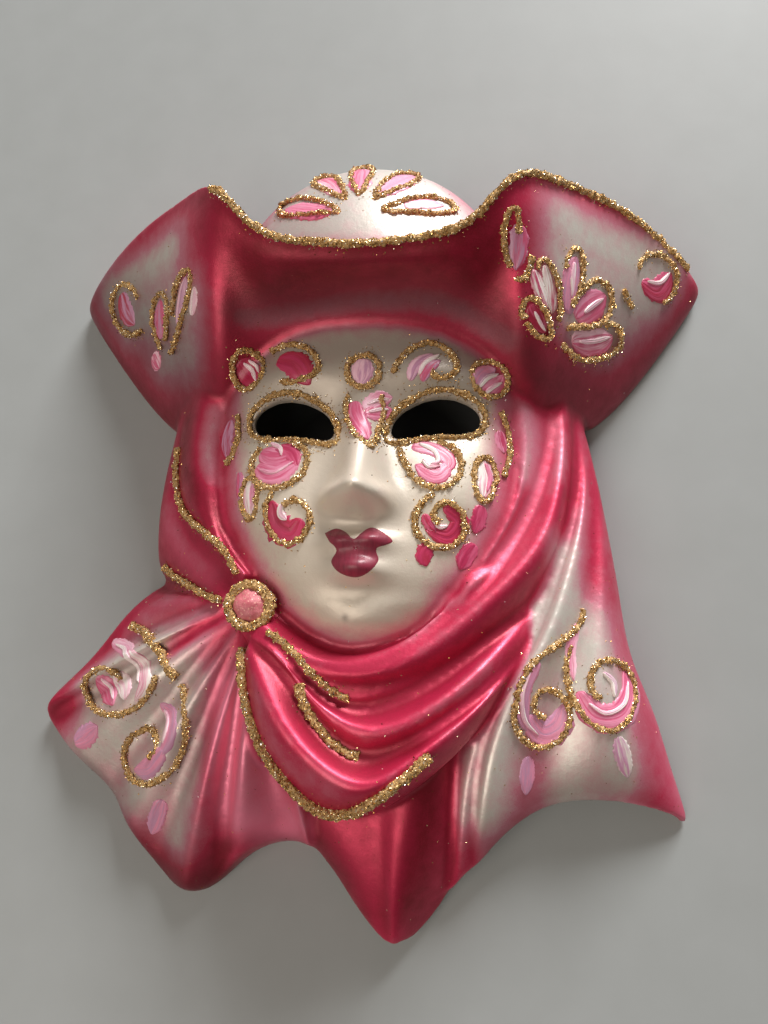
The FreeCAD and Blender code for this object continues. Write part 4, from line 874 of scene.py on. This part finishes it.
# Thin last strokes of nearly dry light paint, laid over the petals.
SWIRLS = [
    (1.5, WHITE, BLUSH, [(-36.2, -78.4), (-33.4, -80.6), (-31.4, -85.0)]),
    (1.2, WHITE, BLUSH, [(-34.6, -77.6), (-32.0, -79.6), (-30.8, -82.4)]),
    (1.5, WHITE, LILAC, [(32.0, -87.8), (34.4, -84.6), (38.0, -82.2)]),
    (1.3, WHITE, BLUSH, [(33.6, -89.2), (36.0, -86.8), (38.8, -84.6)]),
    (1.6, WHITE, BLUSH, [(15.6, -86.4), (17.4, -82.8), (21.4, -79.6)]),
    (1.2, BLUSH, WHITE, [(1.4, -95.4), (4.4, -93.4), (7.6, -92.8)]),
    (1.2, BLUSH, WHITE, [(1.8, -97.8), (4.8, -96.2), (7.4, -95.8)]),
    (1.4, BLUSH, WHITE, [(-26.6, -103.4), (-23.4, -105.6), (-22.4, -108.6)]),
    (1.3, BLUSH, PINK, [(-29.2, -111.6), (-24.0, -113.4), (-18.4, -110.6)]),
    (2.2, WHITE, BLUSH, [(-21.4, -122.8), (-21.4, -125.6), (-19.6, -127.4)]),
    (1.5, WHITE, BLUSH, [(15.4, -105.6), (19.6, -107.6), (21.0, -110.8), (18.6, -112.2)]),
    (1.2, WHITE, PINK, [(16.6, -110.6), (18.4, -112.8), (21.6, -112.6)]),
    (1.3, WHITE, BLUSH, [(19.4, -127.0), (21.2, -129.2), (23.6, -128.6)]),
    (1.2, ROSE, PINK, [(33.6, -109.6), (34.8, -114), (33.8, -118.4)]),
    (1.4, WHITE, BLUSH, [(-78.0, -157.4), (-71.6, -160.2), (-66.2, -164.6), (-64.0, -170)]),
    (1.3, WHITE, BLUSH, [(-78.8, -167.8), (-74.8, -171.0), (-72.6, -174.4)]),
    (1.4, WHITE, BLUSH, [(-57.0, -176.6), (-54.6, -181.0), (-55.4, -186.4)]),
    (1.3, BLUSH, WHITE, [(45.0, -165.4), (42.6, -172.0), (43.4, -178.4), (47.6, -182.4)]),
    (1.6, WHITE, LILAC, [(65.0, -165.4), (67.6, -168.0), (67.8, -172.0)]),
    (1.3, WHITE, BLUSH, [(60.4, -173.4), (65.2, -176.2), (70.4, -173.4), (72.0, -167.0)]),
    (1.3, BLUSH, WHITE, [(59.2, -52.6), (58.6, -57.2), (58.4, -62.0)]),
    (1.3, BLUSH, WHITE, [(62.4, -64.0), (65.6, -60.6), (69.0, -57.4)]),
    (1.3, WHITE, BLUSH, [(61.0, -71.4), (66.2, -69.2), (71.8, -66.0)]),
    (1.2, WHITE, BLUSH, [(47.2, -69.6), (49.0, -71.8), (50.6, -73.2)]),
    (1.3, BLUSH, WHITE, [(84.0, -47.0), (88.6, -45.8), (92.2, -41.6)]),
]

# The lips' outline, and the point that their rings of points shrink to.
LIPS = [(-9.0, -131.6), (-5.8, -130.6), (-3.2, -131.8), (-0.4, -134.2), (2.6, -131.0), (5.2, -130.7),
        (9.6, -133.8), (8.0, -135.3), (5.4, -136.6), (6.0, -139.6), (4.0, -142.8), (0.0, -144.3),
        (-4.5, -143.0), (-6.9, -139.8), (-5.4, -136.8), (-7.6, -134.3)]
LIPS_CENTRE = (0.0, -136.6)

# Heights above the cast: the middle of a stroke, the middle of the lips, the edges of both, which dip
# under the cast's skin, and the bed that the swirls get on top of the petals.
PAINT_HEIGHT = 0.34
LIPS_HEIGHT = 0.22
EDGE_HEIGHT = -0.1
SWIRL_LIFT = 0.38


def raised_patch(grid, heights, front, sink=0.35):
    """A closed skin over a grid of (x, z) points, lifted off the cast by the given heights."""
    rows, columns = heights.shape
    top, bottom = [], []
    for (x, z), height in zip(grid.reshape(-1, 2), heights.ravel()):
        point, normal = front.drop(x, z)
        if point is None:
            return None
        top.append(point + normal * (height * MM))
        bottom.append(point - normal * (sink * MM))
    index = np.arange(rows * columns).reshape(rows, columns)
    quads = np.stack([index[:-1, :-1], index[:-1, 1:], index[1:, 1:], index[1:, :-1]], -1).reshape(-1, 4)
    rim = np.concatenate([index[0, :-1], index[:-1, -1], index[-1, :0:-1], index[:0:-1, 0]])
    after = np.roll(rim, -1)
    side = np.stack([rim, rim + rows * columns, after + rows * columns, after], -1)
    faces = np.concatenate([quads, quads[:, ::-1] + rows * columns, side])
    return np.array([tuple(point) for point in top + bottom]), faces


def stroke_grid(width, line, steps=26, strands=13):
    """Points along and across a brush stroke that is round at its heel and pointed at its tip."""
    spine = smooth_path(line, steps)
    along = np.gradient(spine, axis=0)
    along /= np.linalg.norm(along, axis=1, keepdims=True)
    side = np.stack([-along[:, 1], along[:, 0]], axis=1)
    u = np.linspace(0, 1, steps)
    half = width / 2 * np.sqrt(np.clip(1 - (1 - np.minimum(u / 0.38, 1)) ** 2, 0, 1))
    half *= np.clip(1 - np.clip((u - 0.55) / 0.45, 0, 1) ** 2.4, 0.05, 1)
    half = np.maximum(half, 0.12)
    v = np.linspace(-1, 1, strands)
    ragged = 1 + 0.10 * rng.normal(size=(steps, 1)) * (np.abs(v) > 0.9)
    grid = spine[:, None, :] + side[:, None, :] * (half[:, None] * v * ragged)[:, :, None]
    return grid, u, v


def stroke_heights(number, u, v, lift):
    """Heights over a stroke's grid: rounded, with a small ridge from every few bristles."""
    strands = np.sin(v * 9 + number) * 0.05 + rng.normal(size=len(v)) * 0.03
    heights = PAINT_HEIGHT * np.sqrt(np.clip(1 - np.abs(v) ** 3, 0, 1))[None, :] + strands[None, :]
    # Strokes that overlap lie at slightly different heights.
    heights = heights * (0.6 + 0.4 * np.sin(np.pi * u) ** 0.5)[:, None] + lift + 0.03 * (number % 4)
    heights[:, [0, -1]] = EDGE_HEIGHT
    heights[[0, -1], :] = EDGE_HEIGHT
    return heights


def brushed_strokes(name, strokes, lift, front, material):
    """All the strokes of a list as one piece; a stroke that runs off the cast is left out."""
    points, faces = [], []
    colors = {"paint": [], "second_paint": []}
    values = {"along": [], "across": [], "side": [], "batch": []}
    count = 0
    for number, (width, first_paint, second_paint, line) in enumerate(strokes):
        grid, u, v = stroke_grid(width, line)
        patch = raised_patch(grid, stroke_heights(number, u, v, lift), front)
        if patch is None:
            continue
        patch_points, patch_faces = patch
        size = len(patch_points)
        points.append(patch_points)
        faces.append(patch_faces + count)
        count += size
        colors["paint"].append(np.tile(first_paint, (size, 1)))
        colors["second_paint"].append(np.tile(second_paint, (size, 1)))
        values["along"].append(np.tile(np.repeat(u * 1.2, len(v)), 2))
        values["across"].append(np.tile(v * width * 0.55, 2 * len(u)))
        values["side"].append(np.tile(v, 2 * len(u)))
        values["batch"].append(np.full(size, number * 3.7))
    painted = new_object(name, np.concatenate(points), np.concatenate(faces))
    for key, rows in colors.items():
        set_color(painted.data, key, np.concatenate(rows))
    for key, rows in values.items():
        set_value(painted.data, key, np.concatenate(rows))
    shade(painted, True)
    put_on(painted, material, "petal_paint")


def painted_lips(front, material):
    """The lips, as rings of points from their centre to their outline."""
    outline = smooth_path(LIPS + LIPS[:1], 97)
    rings = np.linspace(0.02, 1, 12)
    centre = np.array(LIPS_CENTRE)
    grid = centre + (outline - centre)[None] * rings[:, None, None]
    heights = np.tile((LIPS_HEIGHT * np.sqrt(1 - rings ** 4))[:, None], (1, len(outline)))
    heights[-1] = EDGE_HEIGHT
    points, faces = raised_patch(grid, heights, front, sink=0.2)
    lips = new_object("painted_lips", points, faces)
    x, z = points[:, 0] / MM, points[:, 2] / MM
    set_color(lips.data, "paint", np.tile(LIP_RED, (len(points), 1)))
    set_color(lips.data, "second_paint", np.tile(LIP_SHADE, (len(points), 1)))
    set_value(lips.data, "along", z * 0.25)
    set_value(lips.data, "across", x * 0.8)
    set_value(lips.data, "side", np.zeros(len(points)))
    set_value(lips.data, "batch", np.zeros(len(points)))
    weld = lips.modifiers.new("weld", "WELD")
    weld.merge_threshold = 0.00002
    shade(lips, True)
    put_on(lips, material, "lip_paint")


BROOCH_VOXEL = 0.35
BROOCH_DENTS = 0.12


def brooch(material):
    """The brooch's painted middle, a little dented."""
    stone = new_object("brooch_button", *cad_arrays("brooch_stone"))
    remesh(stone, BROOCH_VOXEL, 4)
    points = vertex_points(stone.data)
    dents = Neighbours(stone.data).smooth(rng.normal(size=len(points)), 30)
    dents *= BROOCH_DENTS * MM / dents.std()
    set_points(stone.data, points + vertex_normals(stone.data) * dents[:, None])
    shade(stone, True)
    put_on(stone, material, "brooch_pink", "brooch_stone")


# ---------------------------------------------------------------- studio
# Lights: (name, place, size, power, colour). All of them point at the middle of the mask.
LIGHTS = [
    ("window", (0.75, -0.95, 1.85), 0.9, 88.0, (1.0, 0.99, 0.98)),
    ("fill", (-0.8, -1.7, -1.0), 1.6, 24.0, (1.0, 0.90, 0.80)),
    ("back_fill", (-0.6, 1.8, 0.7), 1.4, 22.0, (1.0, 1.0, 1.0)),
]
MASK_MIDDLE = Vector((0, -0.02, -0.12))
SKY = [(0.0, (0.13, 0.11, 0.09)), (0.5, (0.38, 0.33, 0.28)), (1.0, (0.85, 0.82, 0.78))]
SKY_STRENGTH = 0.42

# The board lies just behind the wall plane. Painted shade makes it nearly black behind the face, where the
# hollow shades it.
BOARD_REACH = 3.0
BOARD_Y = 0.0002
SHADED_Z = -0.11
SHADED_RADIUS = 0.035
LIT_RADIUS = 0.06

CAMERA_PLACE = (0.0280, -0.2600, -0.1843)
CAMERA_LOOK = (-0.0945, 0.9611, 0.2596)
CAMERA_UP = (0.0073, -0.2601, 0.9656)
CAMERA_LENS = 29.88


def area_light(name, where, size, power, color):
    data = bpy.data.lights.new(name, "AREA")
    data.size = size
    data.energy = power
    data.color = color
    light = bpy.data.objects.new(name, data)
    light.location = where
    light.rotation_mode = "QUATERNION"
    light.rotation_quaternion = (MASK_MIDDLE - Vector(where)).to_track_quat("-Z", "Y")
    bpy.context.scene.collection.objects.link(light)


def board_color(tree):
    """Pale cloth, with painted shade, nearly black, where the hollow behind the face stands over it."""
    cloth = mix_color(tree, noise_value(tree, 60.0), color_of("95999a"), color_of("8d9191"))
    offset = node(tree, "VectorMath", {0: place(tree), 1: (0.0, 0.0, -SHADED_Z)}, operation="ADD")
    far = node(tree, "VectorMath", {0: offset.outputs[0]}, operation="LENGTH").outputs["Value"]
    lit = remap(tree, far, SHADED_RADIUS, LIT_RADIUS, 0.0, 1.0)
    return mix_color(tree, lit, (0.01, 0.01, 0.01), cloth)


def pale_board():
    """The pale surface that the mask lies on. It clears away when the camera goes behind it."""
    sides = ((-1, -1), (1, -1), (1, 1), (-1, 1))
    corners = [(x * BOARD_REACH, BOARD_Y, z * BOARD_REACH) for x, z in sides]
    board = new_object("pale_board", corners, [(0, 1, 2, 3)])
    material, tree = new_material("pale_board")
    cloth = principled(tree, board_color(tree), 0.6, 0.0)
    facing = node(tree, "VectorTransform", {0: (0.0, 1.0, 0.0)}, vector_type="NORMAL",
                  convert_from="WORLD", convert_to="CAMERA").outputs[0]
    depth = node(tree, "SeparateXYZ", {0: facing}).outputs[2]
    behind = math_node(tree, "LESS_THAN", depth, 0.0)
    clear = node(tree, "BsdfTransparent")
    mixed = node(tree, "MixShader", {0: behind, 1: cloth, 2: clear.outputs[0]})
    surface(tree, mixed.outputs[0])
    board.data.materials.append(material)


def studio():
    scene = bpy.context.scene
    scene.view_settings.view_transform = "Standard"
    world = bpy.data.worlds.new("studio")
    scene.world = world
    world.use_nodes = True
    tree = world.node_tree
    tree.nodes.clear()
    height = node(tree, "SeparateXYZ", {0: node(tree, "TexCoord").outputs["Generated"]}).outputs[2]
    sky = color_ramp(tree, remap(tree, height, -1, 1, 0, 1), SKY)
    glow = node(tree, "Background", {"Color": sky, "Strength": SKY_STRENGTH})
    node(tree, "OutputWorld", {"Surface": glow.outputs[0]})
    for light in LIGHTS:
        area_light(*light)
    pale_board()


def camera():
    data = bpy.data.cameras.new("camera")
    data.lens = CAMERA_LENS
    data.clip_start = 0.01
    eye = bpy.data.objects.new("camera", data)
    look = Vector(CAMERA_LOOK).normalized()
    right = look.cross(Vector(CAMERA_UP)).normalized()
    up = right.cross(look)
    turn = Matrix((right, up, -look)).transposed()
    eye.matrix_world = Matrix.Translation(CAMERA_PLACE) @ turn.to_4x4()
    bpy.context.scene.collection.objects.link(eye)
    bpy.context.scene.camera = eye


# ---------------------------------------------------------------- assembly
cast = cast_shell()
put_on(cast, pearl_paint(), "painted_ceramic", *CAST_NODES)
front = Front(cast)
glitter = gold_glitter()
for name in LINE_NODES:
    glitter_line(name, front, glitter)
stray_flakes(cast, glitter)
petal_paint = brushed_paint("petal_paint", 0.32, 0.5)
brushed_strokes("brushed_petals", STROKES, 0.0, front, petal_paint)
brushed_strokes("dry_swirls", SWIRLS, SWIRL_LIFT, front, petal_paint)
painted_lips(front, brushed_paint("lip_paint", 0.45, 0.6))
brooch(brooch_paint())
for name, material in (("hanging_loop", steel_wire()), ("loop_lug_left", bare_clay()),
                       ("loop_lug_right", bare_clay())):
    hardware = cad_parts[name]
    hardware.data.materials.clear()
    hardware.data.materials.append(material)
    shade(hardware, name == "hanging_loop")
studio()
camera()
bpy.context.view_layer.update()
